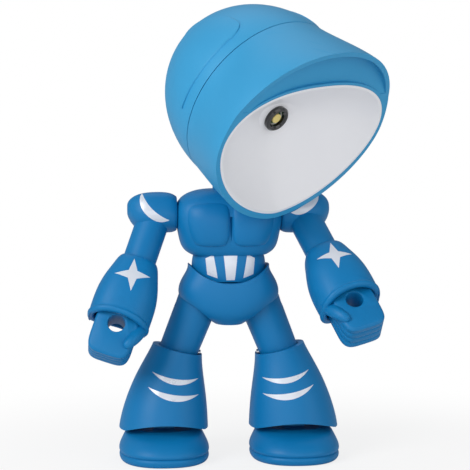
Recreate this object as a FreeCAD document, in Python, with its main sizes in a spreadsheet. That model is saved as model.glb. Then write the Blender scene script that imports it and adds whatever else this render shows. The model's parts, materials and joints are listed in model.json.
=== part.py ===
import FreeCAD
import Part
import Sketcher
import math
import os

# Robot shaped desk lamp, in millimetres.
# +Z is up, the robot faces -Y and its left hand is on the +X side.
# Pieces are drawn in the frame of their own limb and then placed in the pose of the lamp at rest.
# Side is +1 for the robot's left and -1 for its right.

Vector = FreeCAD.Vector
SIDES = (("left", 1), ("right", -1))
X_AXIS = Vector(1, 0, 0)
Y_AXIS = Vector(0, 1, 0)
Z_AXIS = Vector(0, 0, 1)

document = FreeCAD.newDocument("RobotLamp")
sheet = document.addObject("Spreadsheet::Sheet", "Sizes")

SIZES = (
    # Moulded walls and fits
    ("wall", 2.2, "wall of the moulded shells"),
    ("inlay_depth", 0.8, "depth of the light inlays"),
    ("running_clearance", 0.05, "radial gap of a pin in its bore"),
    ("shell_gap", 0.4, "gap between shells that move past each other"),
    ("seam_gap", 0.5, "groove at the parting line of the head"),
    # Pose at rest
    ("neck_lean", 8.9, "degrees, neck axis forward of upright"),
    ("head_pan", 36.0, "degrees, head turned to the robot's left"),
    ("head_drop", 25.1, "degrees, lamp axis below square to the neck"),
    ("left_arm_swing", 41.2, "degrees, arm forward of hanging"),
    ("right_arm_swing", 23.6, "degrees, arm forward of hanging"),
    ("arm_spread", 19.2, "degrees, arm outward of upright"),
    # Head
    ("head_pivot_y", -6.2, "tilt axis, forward of the body's middle"),
    ("head_pivot_z", 168.05, "tilt axis above the floor"),
    ("head_reach", 10.3, "seam plane forward of the tilt axis"),
    ("head_rise", 40.0, "lamp axis above the tilt axis"),
    ("head_radius", 49.0, "outer radius at the seam"),
    ("head_depth", 57.0, "seam to the back of the head"),
    ("face_height", 35.2, "seam to the face plane"),
    ("face_half_width", 57.3, "lamp axis to the side of the face"),
    ("face_chin", 51.5, "lamp axis to the outside of the chin"),
    ("visor_radius", 54.0, "lamp axis to the edge of the visor"),
    ("visor_peak", 4.0, "visor in front of the face plane"),
    ("visor_lip", 2.4, "thickness of the visor edge"),
    ("brow_depth", 8.5, "recess behind the visor edge"),
    ("opening_half_width", 54.9, "half width of the light opening"),
    ("opening_top", 31.6, "lamp axis to the top of the opening"),
    ("opening_chin", 48.2, "lamp axis to the foot of the opening"),
    ("reflector_wall", 1.4, "wall of the reflector bowl"),
    ("led_height", 12.4, "seam plane to the lamp's emitter"),
    ("led_offset", -2.1, "emitter below the lamp axis"),
    ("bezel_radius", 7.2, "outside of the black ring"),
    ("bezel_bore", 4.4, "bore of the black ring"),
    ("bezel_thickness", 2.6, "front to back of the black ring"),
    ("emitter_radius", 2.7, "yellow emitter"),
    ("board_radius", 10.0, "round lamp board"),
    ("board_thickness", 1.6, "round lamp board"),
    ("sink_radius", 14.0, "heat sink behind the board"),
    ("sink_thickness", 4.0, "heat sink behind the board"),
    ("sink_groove", 1.2, "width of a groove in the heat sink"),
    # Neck
    ("neck_radius", 6.0, "stem that turns in the chest"),
    ("knuckle_radius", 6.0, "round eye on top of the stem"),
    ("knuckle_width", 12.0, "eye along the tilt axis"),
    ("tilt_pin_radius", 2.0, "steel pin of the head tilt"),
    ("bracket_width", 28.0, "bracket over both ears"),
    ("bracket_reach", 7.0, "ears around the tilt pin"),
    ("slot_forward", 12.0, "neck slot in front of the tilt axis"),
    ("slot_back", 15.0, "neck slot behind the tilt axis"),
    ("flange_radius", 10.0, "flange that keeps the stem in the chest"),
    ("flange_thickness", 2.0, "flange that keeps the stem in the chest"),
    # Torso
    ("chest_top", 147.8, "top of the chest above the floor"),
    ("chest_bottom", 112.4, "lower edge of the chest above the floor"),
    ("chest_half_width", 28.4, "flat side of the chest"),
    ("chest_half_depth", 19.0, "front of the chest"),
    ("chest_groove", 2.2, "width of the groove between the breast plates"),
    ("button_radius", 4.5, "push button on the back"),
    ("button_travel", 1.5, "stroke of the push button"),
    ("button_proud", 2.0, "button in front of the back shell"),
    ("inlet_width", 9.0, "charging inlet"),
    ("inlet_height", 3.6, "charging inlet"),
    ("inlet_depth", 7.0, "charging inlet"),
    ("cell_width", 30.0, "rechargeable cell"),
    ("cell_height", 16.0, "rechargeable cell"),
    ("cell_thickness", 7.0, "rechargeable cell"),
    ("circuit_width", 28.0, "circuit board in the chest"),
    ("circuit_height", 18.0, "circuit board in the chest"),
    ("screw_radius", 1.5, "shank of the case screws"),
    ("screw_head", 2.8, "head of the case screws"),
    ("screw_across", 20.0, "case screws from the middle"),
    ("screw_low", 12.0, "lower case screws above the chest's edge"),
    ("screw_rise", 15.0, "lower to upper case screws"),
    # Waist and hips
    ("waist_half_width", 20.2, "waist at its widest"),
    ("waist_half_depth", 14.5, "waist front to middle"),
    ("waist_top", 118.0, "top of the waist above the floor"),
    ("waist_bottom", 98.0, "foot of the waist above the floor"),
    ("waist_pin_radius", 4.0, "pivot under the waist"),
    ("pelvis_top", 106.6, "corners of the belt above the floor"),
    ("belt_low", 97.3, "low point of the belt above the floor"),
    ("pelvis_bottom", 74.1, "crotch above the floor"),
    ("pelvis_half_width", 27.4, "widest point of the hips"),
    ("pelvis_half_depth", 19.0, "front of the hips"),
    # Legs
    ("hip_x", 17.0, "hip from the middle"),
    ("hip_z", 86.0, "hip above the floor"),
    ("hip_radius", 11.3, "round head of the thigh"),
    ("hip_pin_radius", 2.5, "steel pin through both hips"),
    ("hip_forward", 30.0, "degrees, thigh forward of standing"),
    ("hip_back", 20.0, "degrees, thigh behind standing"),
    ("knee_x", 28.4, "knee from the middle"),
    ("knee_z", 57.5, "knee above the floor"),
    ("knee_radius", 10.6, "round foot of the thigh"),
    ("knee_pin_radius", 1.5, "steel pin of the knee"),
    ("cuff_radius", 14.0, "top of the boot"),
    ("boot_x", 36.0, "foot of the boot from the middle"),
    ("boot_half_width", 24.5, "foot of the boot"),
    ("boot_half_depth", 25.5, "foot of the boot"),
    ("boot_bottom", 17.0, "lower edge of the boot above the floor"),
    ("ankle_z", 24.0, "ankle pin above the floor"),
    ("ankle_pin_radius", 1.5, "steel pin of the ankle"),
    ("foot_half_width", 24.3, "foot at its widest"),
    ("foot_toe", 34.5, "toe in front of the ankle"),
    ("foot_heel", 25.5, "heel behind the ankle"),
    ("foot_top", 17.0, "instep above the floor"),
    ("sole_height", 4.4, "sole under the foot"),
    # Arms
    ("shoulder_x", 39.5, "shoulder pivot from the middle"),
    ("shoulder_z", 136.0, "shoulder pivot above the floor"),
    ("shoulder_out", 16.0, "pivot to the tip of the shoulder"),
    ("shoulder_half_height", 10.6, "shoulder at its tallest"),
    ("shoulder_half_depth", 12.0, "shoulder front to middle"),
    ("shoulder_pin_radius", 2.5, "steel pin of the shoulder"),
    ("arm_radius", 9.0, "upper arm"),
    ("elbow_reach", 44.0, "shoulder pivot to the end of the upper arm"),
    ("glove_top", 31.0, "shoulder pivot to the top of the glove"),
    ("glove_floor", 3.5, "web in the glove under the upper arm"),
    ("glove_bottom", 69.0, "shoulder pivot to the rim of the glove"),
    ("glove_half_width", 16.8, "glove at its widest"),
    ("glove_half_depth", 15.6, "glove front to middle"),
    ("rim_arch", 10.0, "rise of the rim at the front and back"),
    ("arm_pin_radius", 2.0, "steel pin through elbow and wrist"),
    ("wrist_radius", 6.0, "stub of the fist in the glove"),
    ("grip_reach", 69.9, "shoulder pivot to the grip bore"),
    ("grip_radius", 4.7, "bore through the fist"),
    ("fist_half_width", 11.8, "fist at its widest"),
    ("fist_half_depth", 9.0, "flat faces of the fist"),
    ("fist_bottom", 89.0, "shoulder pivot to the end of the fist"),
    # Inlays
    ("star_reach", 43.0, "shoulder pivot to the middle of the star"),
    ("star_long", 9.6, "middle of the star to a tip"),
    ("star_short", 3.3, "middle of the star to an inner corner"),
    ("star_turn", 12.0, "degrees, star turned in the glove's face"),
)

for row, (alias, value, meaning) in enumerate(SIZES, start=1):
    sheet.set("A%d" % row, meaning)
    sheet.set("B%d" % row, str(value))
    sheet.setAlias("B%d" % row, alias)
document.recompute()

pieces = {}


def size(alias):
    """Read one driving dimension from the sheet."""
    return float(sheet.get(alias))


def primitive(kind, name, bindings, place=None):
    """Part primitive whose properties are tied to the sheet."""
    part_object = document.addObject(kind, name)
    for prop, expression in bindings.items():
        part_object.setExpression(prop, expression)
    if place is not None:
        part_object.Placement = place
    return part_object


def cut(name, base, tool):
    """Boolean difference of two objects of the document."""
    result = document.addObject("Part::Cut", name)
    result.Base = base
    result.Tool = tool
    return result


def fuse(name, *parts):
    """Boolean sum of objects of the document."""
    result = document.addObject("Part::MultiFuse", name)
    result.Shapes = list(parts)
    return result


def keep(part_object, node, frame=None):
    """Name a finished sub-part and put it in its limb's frame."""
    part_object.Label = node
    if frame is not None:
        part_object.Placement = frame.multiply(part_object.Placement)
    pieces[node] = part_object
    return part_object


def keep_shape(shape, node, frame=None):
    """Store a free-form sub-part as a feature of the document."""
    feature = document.addObject("Part::Feature", node)
    feature.Shape = shape
    return keep(feature, node, frame)


def turned(axis, degrees):
    """Placement that only turns."""
    return FreeCAD.Placement(Vector(), FreeCAD.Rotation(axis, degrees))


def moved(x, y, z, axis=Z_AXIS, degrees=0.0):
    """Placement that moves and turns."""
    return FreeCAD.Placement(Vector(x, y, z), FreeCAD.Rotation(axis, degrees))


def oval(half_x, half_y, fullness=2.0, keel=0.0, count=20):
    """Points of a rounded outline: fullness 2 is an ellipse, more is squarer, keel draws out the front."""
    points = []
    for step in range(count):
        angle = 2 * math.pi * step / count
        cosine = math.cos(angle)
        sine = math.sin(angle)
        x = half_x * math.copysign(abs(cosine) ** (2 / fullness), cosine)
        y = half_y * math.copysign(abs(sine) ** (2 / fullness), sine)
        front = max(0.0, -sine) ** 8
        points.append((x, y - keel * front))
    return points


def smooth_wire(points):
    """Closed smooth wire through points in space."""
    curve = Part.BSplineCurve()
    curve.interpolate(Points=[Vector(*point) for point in points], PeriodicFlag=True)
    return Part.Wire(curve.toShape())


def straight_face(points):
    """Flat face with straight edges."""
    corners = [Vector(*point) for point in points]
    return Part.Face(Part.makePolygon(corners + corners[:1]))


def loft(sections):
    """Smooth solid through rings: each ring is a centre, half sizes, fullness and keel, square to Z."""
    wires = []
    for (centre_x, centre_y, z, half_x, half_y, fullness, keel) in sections:
        ring = oval(half_x, half_y, fullness, keel)
        wires.append(smooth_wire([(centre_x + x, centre_y + y, z) for x, y in ring]))
    return Part.makeLoft(wires, True, False)


def shrunk(sections, wall, floor=0.0, roof=0.0):
    """The same rings drawn in by a wall, for a hollow or an inlay's bed."""
    inner = []
    last = len(sections) - 1
    for number, (centre_x, centre_y, z, half_x, half_y, fullness, keel) in enumerate(sections):
        lift = floor if number == 0 else (-roof if number == last else 0.0)
        inner.append((centre_x, centre_y, z + lift, half_x - wall, half_y - wall, fullness, keel))
    return inner


def rod(radius, start, direction, length):
    """Plain round bar for cuts and pins."""
    return Part.makeCylinder(radius, length, Vector(*start), Vector(*direction))


def origin_plane(body, role):
    """One of the three origin planes of a body."""
    for feature in body.Origin.OriginFeatures:
        if feature.Role == role:
            return feature
    raise ValueError("no plane " + role)


def turned_body(node, outline, frame):
    """Body turned about its own Z axis from a straight-sided outline of radius and height pairs."""
    body = document.addObject("PartDesign::Body", node + "_body")
    sketch = body.newObject("Sketcher::SketchObject", node + "_outline")
    sketch.AttachmentSupport = [(origin_plane(body, "XZ_Plane"), "")]
    sketch.MapMode = "FlatFace"
    corners = [Vector(radius, height, 0) for radius, height in outline]
    for start, end in zip(corners, corners[1:] + corners[:1]):
        sketch.addGeometry(Part.LineSegment(start, end), False)
    for number in range(len(corners)):
        following = (number + 1) % len(corners)
        sketch.addConstraint(Sketcher.Constraint("Coincident", number, 2, following, 1))
    document.recompute()
    turning = body.newObject("PartDesign::Revolution", node + "_turning")
    turning.Profile = sketch
    turning.ReferenceAxis = (sketch, ["V_Axis"])
    turning.Angle = 360
    document.recompute()
    return keep(body, node, frame)


def pin(node, radius, length, frame):
    """Round pin along the Z axis of its frame, with its length centred there."""
    bar = primitive("Part::Cylinder", node, {"Radius": radius, "Height": length})
    document.recompute()
    bar.Placement = moved(0, 0, -bar.Height.Value / 2)
    return keep(bar, node, frame)


def inlay(outer, bed, prism):
    """Thin flush inlay: what the prism takes between a surface and its bed."""
    return outer.common(prism).cut(bed)


def half(shape, front):
    """Front or back half of a moulding that parts on the plane Y = 0."""
    reach = 200
    y = -reach if front else 0
    return shape.common(Part.makeBox(2 * reach, reach, 2 * reach, Vector(-reach, y, -reach)))


# Frames of the head and neck

pivot = moved(0, size("head_pivot_y"), size("head_pivot_z"), X_AXIS, size("neck_lean"))
neck_frame = pivot.multiply(turned(Z_AXIS, size("head_pan")))
head_frame = neck_frame.multiply(turned(X_AXIS, size("head_drop") + 90))
head_frame = head_frame.multiply(moved(0, size("head_rise"), size("head_reach")))


def shield(half_width, top, chin, z, upper=2.35, lower=1.7, count=28):
    """Outline of the face: a full upper half, and a lower half that narrows to a rounded chin."""
    points = []
    for step in range(count):
        angle = 2 * math.pi * step / count
        cosine = math.cos(angle)
        sine = math.sin(angle)
        fullness = upper if sine >= 0 else lower
        reach = top if sine >= 0 else chin
        x = half_width * math.copysign(abs(cosine) ** (2 / fullness), cosine)
        y = reach * math.copysign(abs(sine) ** (2 / fullness), sine)
        points.append((x, y, z))
    return smooth_wire(points)


def opening_wire(z, scale=1.0, inset=0.0):
    """Outline of the light opening, scaled or drawn in."""
    half_width = size("opening_half_width") * scale - inset
    top = size("opening_top") * scale - inset
    chin = size("opening_chin") * scale - inset
    return shield(half_width, top, chin, z)


def side_prism(outline, half_length):
    """Solid drawn in the Y-Z plane and drawn out to both sides."""
    face = straight_face([(-half_length, y, z) for y, z in outline])
    return face.extrude(Vector(2 * half_length, 0, 0))


def neck_slot():
    """Slot under the head that the neck tilts in."""
    half_width = size("neck_radius") + 2 * size("shell_gap")
    back = -size("head_reach") - size("slot_back")
    length = size("slot_back") + size("slot_forward")
    low = -size("head_radius") - size("wall")
    rise = size("head_radius") - size("head_rise") + size("bracket_reach")
    return Part.makeBox(2 * half_width, rise, length, Vector(-half_width, low, back))


def bracket_screw_shapes():
    """Two screws that hold the neck bracket from under the head."""
    head_low = size("head_radius") - size("wall") / 2
    inner = size("head_radius") - size("wall")
    shapes = []
    for side in (-1, 1):
        x = side * (size("bracket_width") / 2 - size("screw_head"))
        z = -size("head_reach")
        shank = rod(size("screw_radius"), (x, -inner, z), (0, 1, 0), size("bracket_reach") + 1)
        head = rod(size("screw_head"), (x, -head_low, z), (0, 1, 0), head_low - inner + 1.0)
        shapes.append(shank.fuse(head))
    return shapes


# Head shells

def make_rear_shell():
    """Round back of the head: a hollow half ellipsoid with the neck slot."""
    skin = primitive("Part::Ellipsoid", "rear_skin", {
        "Radius1": "Sizes.head_depth",
        "Radius2": "Sizes.head_radius",
        "Radius3": "Sizes.head_radius",
    })
    hollow = primitive("Part::Ellipsoid", "rear_hollow", {
        "Radius1": "Sizes.head_depth - Sizes.wall",
        "Radius2": "Sizes.head_radius - Sizes.wall",
        "Radius3": "Sizes.head_radius - Sizes.wall",
    })
    for part_object in (skin, hollow):
        part_object.Angle1 = -90
        part_object.Angle2 = 0
    opening = document.addObject("Part::Feature", "rear_slot")
    opening.Shape = neck_slot().multiFuse(bracket_screw_shapes())
    shell = cut("rear_cup", skin, hollow)
    keep(cut("rear_shell", shell, opening), "rear_shell", head_frame)


def face_skin():
    """Outer form of the front ring, from the seam to the visor's peak."""
    height = size("face_height")
    radius = size("head_radius")
    width = size("face_half_width")
    visor = size("visor_radius")
    chin = size("face_chin")
    middle = 0.5
    rings = [
        shield(radius, radius, radius, size("seam_gap"), 2.0, 2.0),
        shield(
            radius + (width - radius) * middle,
            radius + (visor - radius) * middle,
            radius + (chin - radius) * middle,
            height * middle, 2.05, 1.9,
        ),
        shield(width, visor, chin, height, 2.1, 1.75),
        shield(width, visor + 0.5, chin, height + size("visor_peak") + 1, 2.1, 1.75),
    ]
    return Part.makeLoft(rings, True, False)


def brow_recess():
    """Hollow under the visor that falls back from the rim of the opening."""
    height = size("face_height")
    visor = size("visor_radius")
    edge = height + size("visor_peak")
    side_level = 22.0
    rim = 1.6
    far = 200.0
    floor = side_prism([
        (side_level, height),
        (visor, edge - size("brow_depth")),
        (visor + 2, edge - size("brow_depth")),
        (visor + 2, far),
        (side_level, far),
    ], far)
    under = shield(
        size("face_half_width") - size("visor_lip"),
        visor - size("visor_lip"),
        size("face_chin"), 0, 2.1, 1.75,
    )
    lid = Part.Face(under).extrude(Vector(0, 0, far))
    rim_block = Part.Face(opening_wire(0, 1.0, -rim)).extrude(Vector(0, 0, far))
    return floor.common(lid).cut(rim_block)


def make_front_shell():
    """Front ring of the head with its visor, brow and the rim of the light opening."""
    height = size("face_height")
    far = 200.0
    peak = height + size("visor_peak")
    trim = side_prism([
        (-far, height),
        (20.0, height),
        (size("visor_radius"), peak),
        (far, peak),
        (far, far),
        (-far, far),
    ], far)
    wall = size("wall")
    radius = size("head_radius")
    throat = height - 11.0
    cavity = Part.makeLoft([
        shield(radius - wall, radius - wall, radius - wall, 0.0, 2.0, 2.0),
        shield(
            size("face_half_width") - 2.6 * wall,
            size("visor_radius") - 2 * wall,
            size("face_chin") - 1.6 * wall,
            throat, 2.1, 1.8,
        ),
        opening_wire(height - 3.2, 1.0, -1.3),
        opening_wire(height, 1.0, -size("running_clearance")),
    ], True, True)
    window = Part.Face(opening_wire(height - 0.01, 1.0, -size("running_clearance")))
    rim_front = Part.Face(opening_wire(height, 1.0, -1.8))
    shell = face_skin().cut(trim).cut(brow_recess()).cut([
        cavity,
        window.extrude(Vector(0, 0, far)),
        rim_front.extrude(Vector(0, 0, far)),
        neck_slot(),
    ])
    keep_shape(shell, "front_shell", head_frame)


# Lamp

def make_reflector():
    """White bowl with a flat lip, seated in the rim of the face."""
    height = size("face_height")
    floor = size("led_height")
    wall = size("reflector_wall")
    depth = height - floor
    profile = ((0.0, 1.0), (0.07, 0.935), (0.30, 0.82), (0.62, 0.60), (0.88, 0.36), (1.0, 0.22))
    inner = []
    outer = []
    for drop, scale in profile:
        z = height - drop * depth
        inner.append(opening_wire(z, scale, wall if drop == 0.0 else 0.0))
        lowered = 0.0 if drop == 0.0 else wall
        outer.append(opening_wire(z - lowered, scale, 0.0 if drop == 0.0 else -wall * 0.6))
    outer_bowl = Part.makeLoft(outer, True, False)
    inner_bowl = Part.makeLoft(inner, True, False)
    bore = rod(size("bezel_bore"), (0, size("led_offset"), floor - 2 * wall), (0, 0, 1), 4 * wall)
    keep_shape(outer_bowl.cut(inner_bowl).cut(bore), "reflector", head_frame)


def make_lamp():
    """Black ring, emitter, lamp board and heat sink, stacked on the lamp axis."""
    axis_y = size("led_offset")
    floor = size("led_height")
    bevel = 0.8
    thickness = size("bezel_thickness")
    radius = size("bezel_radius")
    bore = size("bezel_bore")
    turned_body("led_bezel", [
        (bore, 0.0),
        (radius, 0.0),
        (radius, thickness - bevel),
        (radius - bevel, thickness),
        (bore + bevel, thickness),
        (bore, thickness - bevel),
    ], head_frame.multiply(moved(0, axis_y, floor)))
    board_top = floor - size("reflector_wall")
    emitter = primitive("Part::Cylinder", "emitter_blank", {
        "Radius": "Sizes.emitter_radius",
        "Height": "Sizes.bezel_thickness",
    })
    keep(emitter, "led_emitter", head_frame.multiply(moved(0, axis_y, board_top)))
    board = primitive("Part::Cylinder", "board_blank", {
        "Radius": "Sizes.board_radius",
        "Height": "Sizes.board_thickness",
    })
    board_back = board_top - size("board_thickness")
    keep(board, "led_board", head_frame.multiply(moved(0, axis_y, board_back)))
    sink = primitive("Part::Cylinder", "sink_blank", {
        "Radius": "Sizes.sink_radius",
        "Height": "Sizes.sink_thickness",
    })
    grooves = []
    for number in range(-3, 4):
        groove = primitive("Part::Box", "sink_groove", {
            "Length": "Sizes.sink_groove",
            "Width": "4 * Sizes.sink_radius",
            "Height": "0.6 * Sizes.sink_thickness",
        })
        left = (3 * number - 0.5) * size("sink_groove")
        groove.Placement = moved(left, -2 * size("sink_radius"), 0)
        grooves.append(groove)
    finned = cut("sink_finned", sink, fuse("sink_grooves", *grooves))
    keep(finned, "heat_sink", head_frame.multiply(moved(0, axis_y, board_back - size("sink_thickness"))))


# Neck

def make_neck():
    """Bracket in the head, tilt pin, and the stem that turns in the chest."""
    pin_y = -size("head_rise")
    pin_z = -size("head_reach")
    half_width = size("bracket_width") / 2
    reach = size("bracket_reach")
    inner = size("head_radius") - size("wall")
    ratio = (size("head_depth") - size("wall")) / inner
    block = Part.makeBox(2 * half_width, 2 * reach, 2 * reach,
                         Vector(-half_width, pin_y - reach, pin_z - reach))
    bowl = Part.makeSphere(inner - size("running_clearance"))
    stretch = FreeCAD.Matrix()
    stretch.scale(1.0, 1.0, ratio)
    bowl = bowl.transformGeometry(stretch)
    gap = size("knuckle_width") / 2 + size("shell_gap")
    fork = block.common(bowl).cut(Part.makeBox(2 * gap, 6 * reach, 6 * reach,
                                               Vector(-gap, pin_y - 5 * reach, pin_z - 3 * reach)))
    tie = Part.makeBox(2 * gap, 2.5, 2 * reach, Vector(-gap, pin_y + reach - 0.5, pin_z - reach))
    fork = fork.fuse(tie)
    fork = fork.cut(rod(size("tilt_pin_radius"), (-half_width - 1, pin_y, pin_z), (1, 0, 0),
                        2 * half_width + 2))
    fork = fork.cut(neck_sides())
    for screw in bracket_screw_shapes():
        fork = fork.cut(screw)
    keep_shape(fork.removeSplitter(), "neck_bracket", head_frame)
    keep_shape(Part.makeCompound(bracket_screw_shapes()), "bracket_screws", head_frame)
    tilt = head_frame.multiply(moved(0, pin_y, pin_z, Y_AXIS, 90))
    pin("tilt_pin", "Sizes.tilt_pin_radius", "Sizes.knuckle_width + 6", tilt)

    foot = -(size("head_pivot_z") - size("chest_top")) - size("wall") - 1.6
    knuckle = rod(size("knuckle_radius"), (-size("knuckle_width") / 2, 0, 0), (1, 0, 0),
                  size("knuckle_width"))
    stem = rod(size("neck_radius"), (0, 0, foot), (0, 0, 1), -foot - size("knuckle_radius") - 1.0)
    web_half = size("knuckle_width") / 2
    web_deep = size("knuckle_radius") * 0.8
    web = Part.makeBox(2 * web_half, 2 * web_deep, size("knuckle_radius") + 2.0,
                       Vector(-web_half, -web_deep, -size("knuckle_radius") - 2.0))
    web = web.common(rod(size("neck_radius"), (0, 0, -20), (0, 0, 1), 40))
    flange = rod(size("flange_radius"), (0, 0, foot - size("flange_thickness")), (0, 0, 1),
                 size("flange_thickness"))
    bore = rod(size("tilt_pin_radius") + size("running_clearance"), (-web_half - 1, 0, 0), (1, 0, 0),
               2 * web_half + 2)
    stem = stem.fuse(knuckle).fuse(web).fuse(flange).cut(bore)
    keep_shape(stem.removeSplitter(), "neck_stem", neck_frame)
    return foot


def neck_sides():
    """Room in the bracket for the stem as it tilts."""
    half_width = size("neck_radius") + 2 * size("shell_gap")
    low = -size("head_radius")
    top = -size("head_rise") - 5.0
    return Part.makeBox(2 * half_width, top - low, 80, Vector(-half_width, low, -50))


# Torso

def chest_rings():
    """Cross-sections of the chest from its lower edge up to the neck."""
    width = size("chest_half_width")
    depth = size("chest_half_depth")
    low = size("chest_bottom")
    top = size("chest_top")
    return [
        (0, 0, low, width - 7.6, depth - 5.0, 3.0, 0.0),
        (0, 0, low + 7.0, width - 1.6, depth - 1.6, 3.2, 0.0),
        (0, 0, low + 16.0, width + 0.2, depth, 3.4, 0.0),
        (0, 0, low + 27.0, width + 0.2, depth - 1.0, 3.2, 0.0),
        (0, 0.5, low + 33.0, width - 5.5, depth - 4.5, 2.8, 0.0),
        (0, 0.5, top, width - 15.0, depth - 8.5, 2.4, 0.0),
    ]


def chest_core():
    """Solid form of the chest with flat sides for the shoulders."""
    width = size("chest_half_width")
    slab = Part.makeBox(2 * width, 200, 200, Vector(-width, -100, 0))
    return loft(chest_rings()).common(slab)


def chest_hollow():
    """Room inside the chest."""
    rings = shrunk(chest_rings()[1:], size("wall"), 0.0, size("wall") + 1.4)
    return loft(rings)


def waist_rings(clearance=0.0):
    """Cross-sections of the waist barrel."""
    width = size("waist_half_width") + clearance
    depth = size("waist_half_depth") + clearance
    low = size("waist_bottom")
    top = size("waist_top")
    return [
        (0, 0, low, width - 1.8, depth - 0.8, 2.2, 0.0),
        (0, 0, low + 6.0, width, depth, 2.2, 0.0),
        (0, 0, low + 13.0, width - 0.5, depth - 0.3, 2.2, 0.0),
        (0, 0, top + clearance, width - 3.5, depth - 2.0, 2.2, 0.0),
    ]


def chest_line():
    """Groove between the breast plates."""
    half_width = size("chest_groove") / 2
    depth = size("chest_half_depth")
    low = size("chest_bottom") + 3
    notch = straight_face([
        (-half_width, -depth - 1, low),
        (half_width, -depth - 1, low),
        (0, -depth + 1.5, low),
    ])
    return notch.extrude(Vector(0, 0, 18.5))


def button_rod(radius, inner, outer):
    """Round bar on the axis of the push button, from one depth to another."""
    z = size("chest_bottom") + 22.0
    return rod(radius, (0, inner, z), (0, 1, 0), outer - inner)


def inlet_block(grow, inner, outer):
    """Rounded opening of the charging inlet."""
    half_width = size("inlet_width") / 2 + grow
    half_height = size("inlet_height") / 2 + grow
    z = size("chest_bottom") + 9.0
    block = Part.makeBox(2 * half_width, outer - inner, 2 * half_height,
                         Vector(-half_width, inner, z - half_height))
    sides = [edge for edge in block.Edges if abs(edge.tangentAt(edge.FirstParameter).y) > 0.9]
    return block.makeFillet(half_height * 0.8, sides)


def screw_places():
    """The four places (x, z) of the case screws in the chest."""
    low = size("chest_bottom") + size("screw_low")
    high = low + size("screw_rise")
    across = size("screw_across")
    return ((-across, low), (across, low), (-across, high), (across, high))


def torso_screw_shapes():
    """Four screws that close the chest from the back."""
    back = size("chest_half_depth")
    screws = []
    for x, z in screw_places():
        shank = rod(size("screw_radius"), (x, -6, z), (0, 1, 0), back + 1.0)
        head = rod(size("screw_head"), (x, back - 5.5, z), (0, 1, 0), 2.0)
        screws.append(shank.fuse(head).cut(Part.makeBox(80, 20, 80, Vector(-40, back - 3.5, 100))))
    return screws


def screw_posts():
    """Posts inside the chest for the case screws."""
    back = size("chest_half_depth")
    return [rod(size("screw_head") + 1.2, (x, -back, z), (0, 1, 0), 2 * back) for x, z in screw_places()]


def make_torso(foot):
    """Chest shells with what they hold: cell, board, button, inlet and screws."""
    core = chest_core()
    gap = size("shell_gap")
    neck = neck_frame.toMatrix()
    boss = rod(size("flange_radius") + 2, (0, 0, foot - 6), (0, 0, 1), 9.5)
    boss = boss.transformGeometry(neck).common(core)
    collar = rod(size("neck_radius") + 3, (0, 0, foot), (0, 0, 1), size("wall") + 4.0)
    collar = collar.transformGeometry(neck)
    shell = core.cut(chest_hollow())
    posts = screw_posts()
    shell = shell.fuse([post.common(core) for post in posts]).fuse(boss).fuse(collar)
    shell = shell.cut(loft(waist_rings(0.0)))
    bore = rod(size("neck_radius") + size("running_clearance"), (0, 0, foot - 12), (0, 0, 1), 60)
    seat = rod(size("flange_radius") + gap, (0, 0, foot - size("flange_thickness") - 8), (0, 0, 1),
               size("flange_thickness") + 8 + size("running_clearance"))
    shell = shell.cut([bore.transformGeometry(neck), seat.transformGeometry(neck)])
    shell = shell.cut([chest_line(), shoulder_bore()])
    depth = size("chest_half_depth")
    front = half(shell, True)
    back = half(shell, False)
    back = back.cut(button_rod(size("button_radius") + 0.1, 0, depth + 5))
    back = back.cut(inlet_block(0.0, 0, depth + 5))
    for screw in torso_screw_shapes():
        front = front.cut(screw)
        back = back.cut(screw)
    for x, z in screw_places():
        back = back.cut(rod(size("screw_head") + 0.2, (x, depth - 3.5, z), (0, 1, 0), 10))
    keep_shape(front, "chest_front")
    keep_shape(back, "chest_back")
    keep_shape(Part.makeCompound(torso_screw_shapes()), "chest_screws")

    stroke = size("button_travel") + 0.5
    cap = button_rod(size("button_radius"), depth - 5.5, depth + size("button_proud") - 1.0)
    skirt = button_rod(size("button_radius") + 1.2, depth - 5.5, depth - 4.2)
    keep_shape(cap.fuse(skirt).removeSplitter(), "push_button")
    switch = button_rod(4.0, depth - 12.0, depth - 5.5 - stroke)
    board_y = depth - 13.6
    keep_shape(switch, "button_switch")
    board = Part.makeBox(
        size("circuit_width"), size("board_thickness"), size("circuit_height"),
        Vector(-size("circuit_width") / 2, board_y, size("chest_bottom") + 7.5),
    )
    keep_shape(board, "control_board")
    inlet = inlet_block(-0.05, board_y + 1.6, depth - 1.5)
    inlet = inlet.cut(inlet_block(-0.9, depth - size("inlet_depth"), depth + 1))
    keep_shape(inlet, "charge_inlet")
    cell = primitive("Part::Box", "cell_block", {
        "Length": "Sizes.cell_width",
        "Width": "Sizes.cell_thickness",
        "Height": "Sizes.cell_height",
    })
    keep(cell, "battery_cell", moved(
        -size("cell_width") / 2, -depth + 2 * size("wall") + 1.0, size("chest_bottom") + 8.0,
    ))


def shoulder_bore():
    """Bore through both sides of the chest for the shoulder pins."""
    reach = size("chest_half_width") + 5
    radius = size("shoulder_pin_radius") + size("running_clearance")
    return rod(radius, (-reach, 0, size("shoulder_z")), (1, 0, 0), 2 * reach)


# Waist and pelvis

def front_prism(points, back=0.0):
    """Prism through the front of the body from an outline in the X-Z plane."""
    face = straight_face([(x, back, z) for x, z in points])
    return face.extrude(Vector(0, -60, 0))


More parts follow.
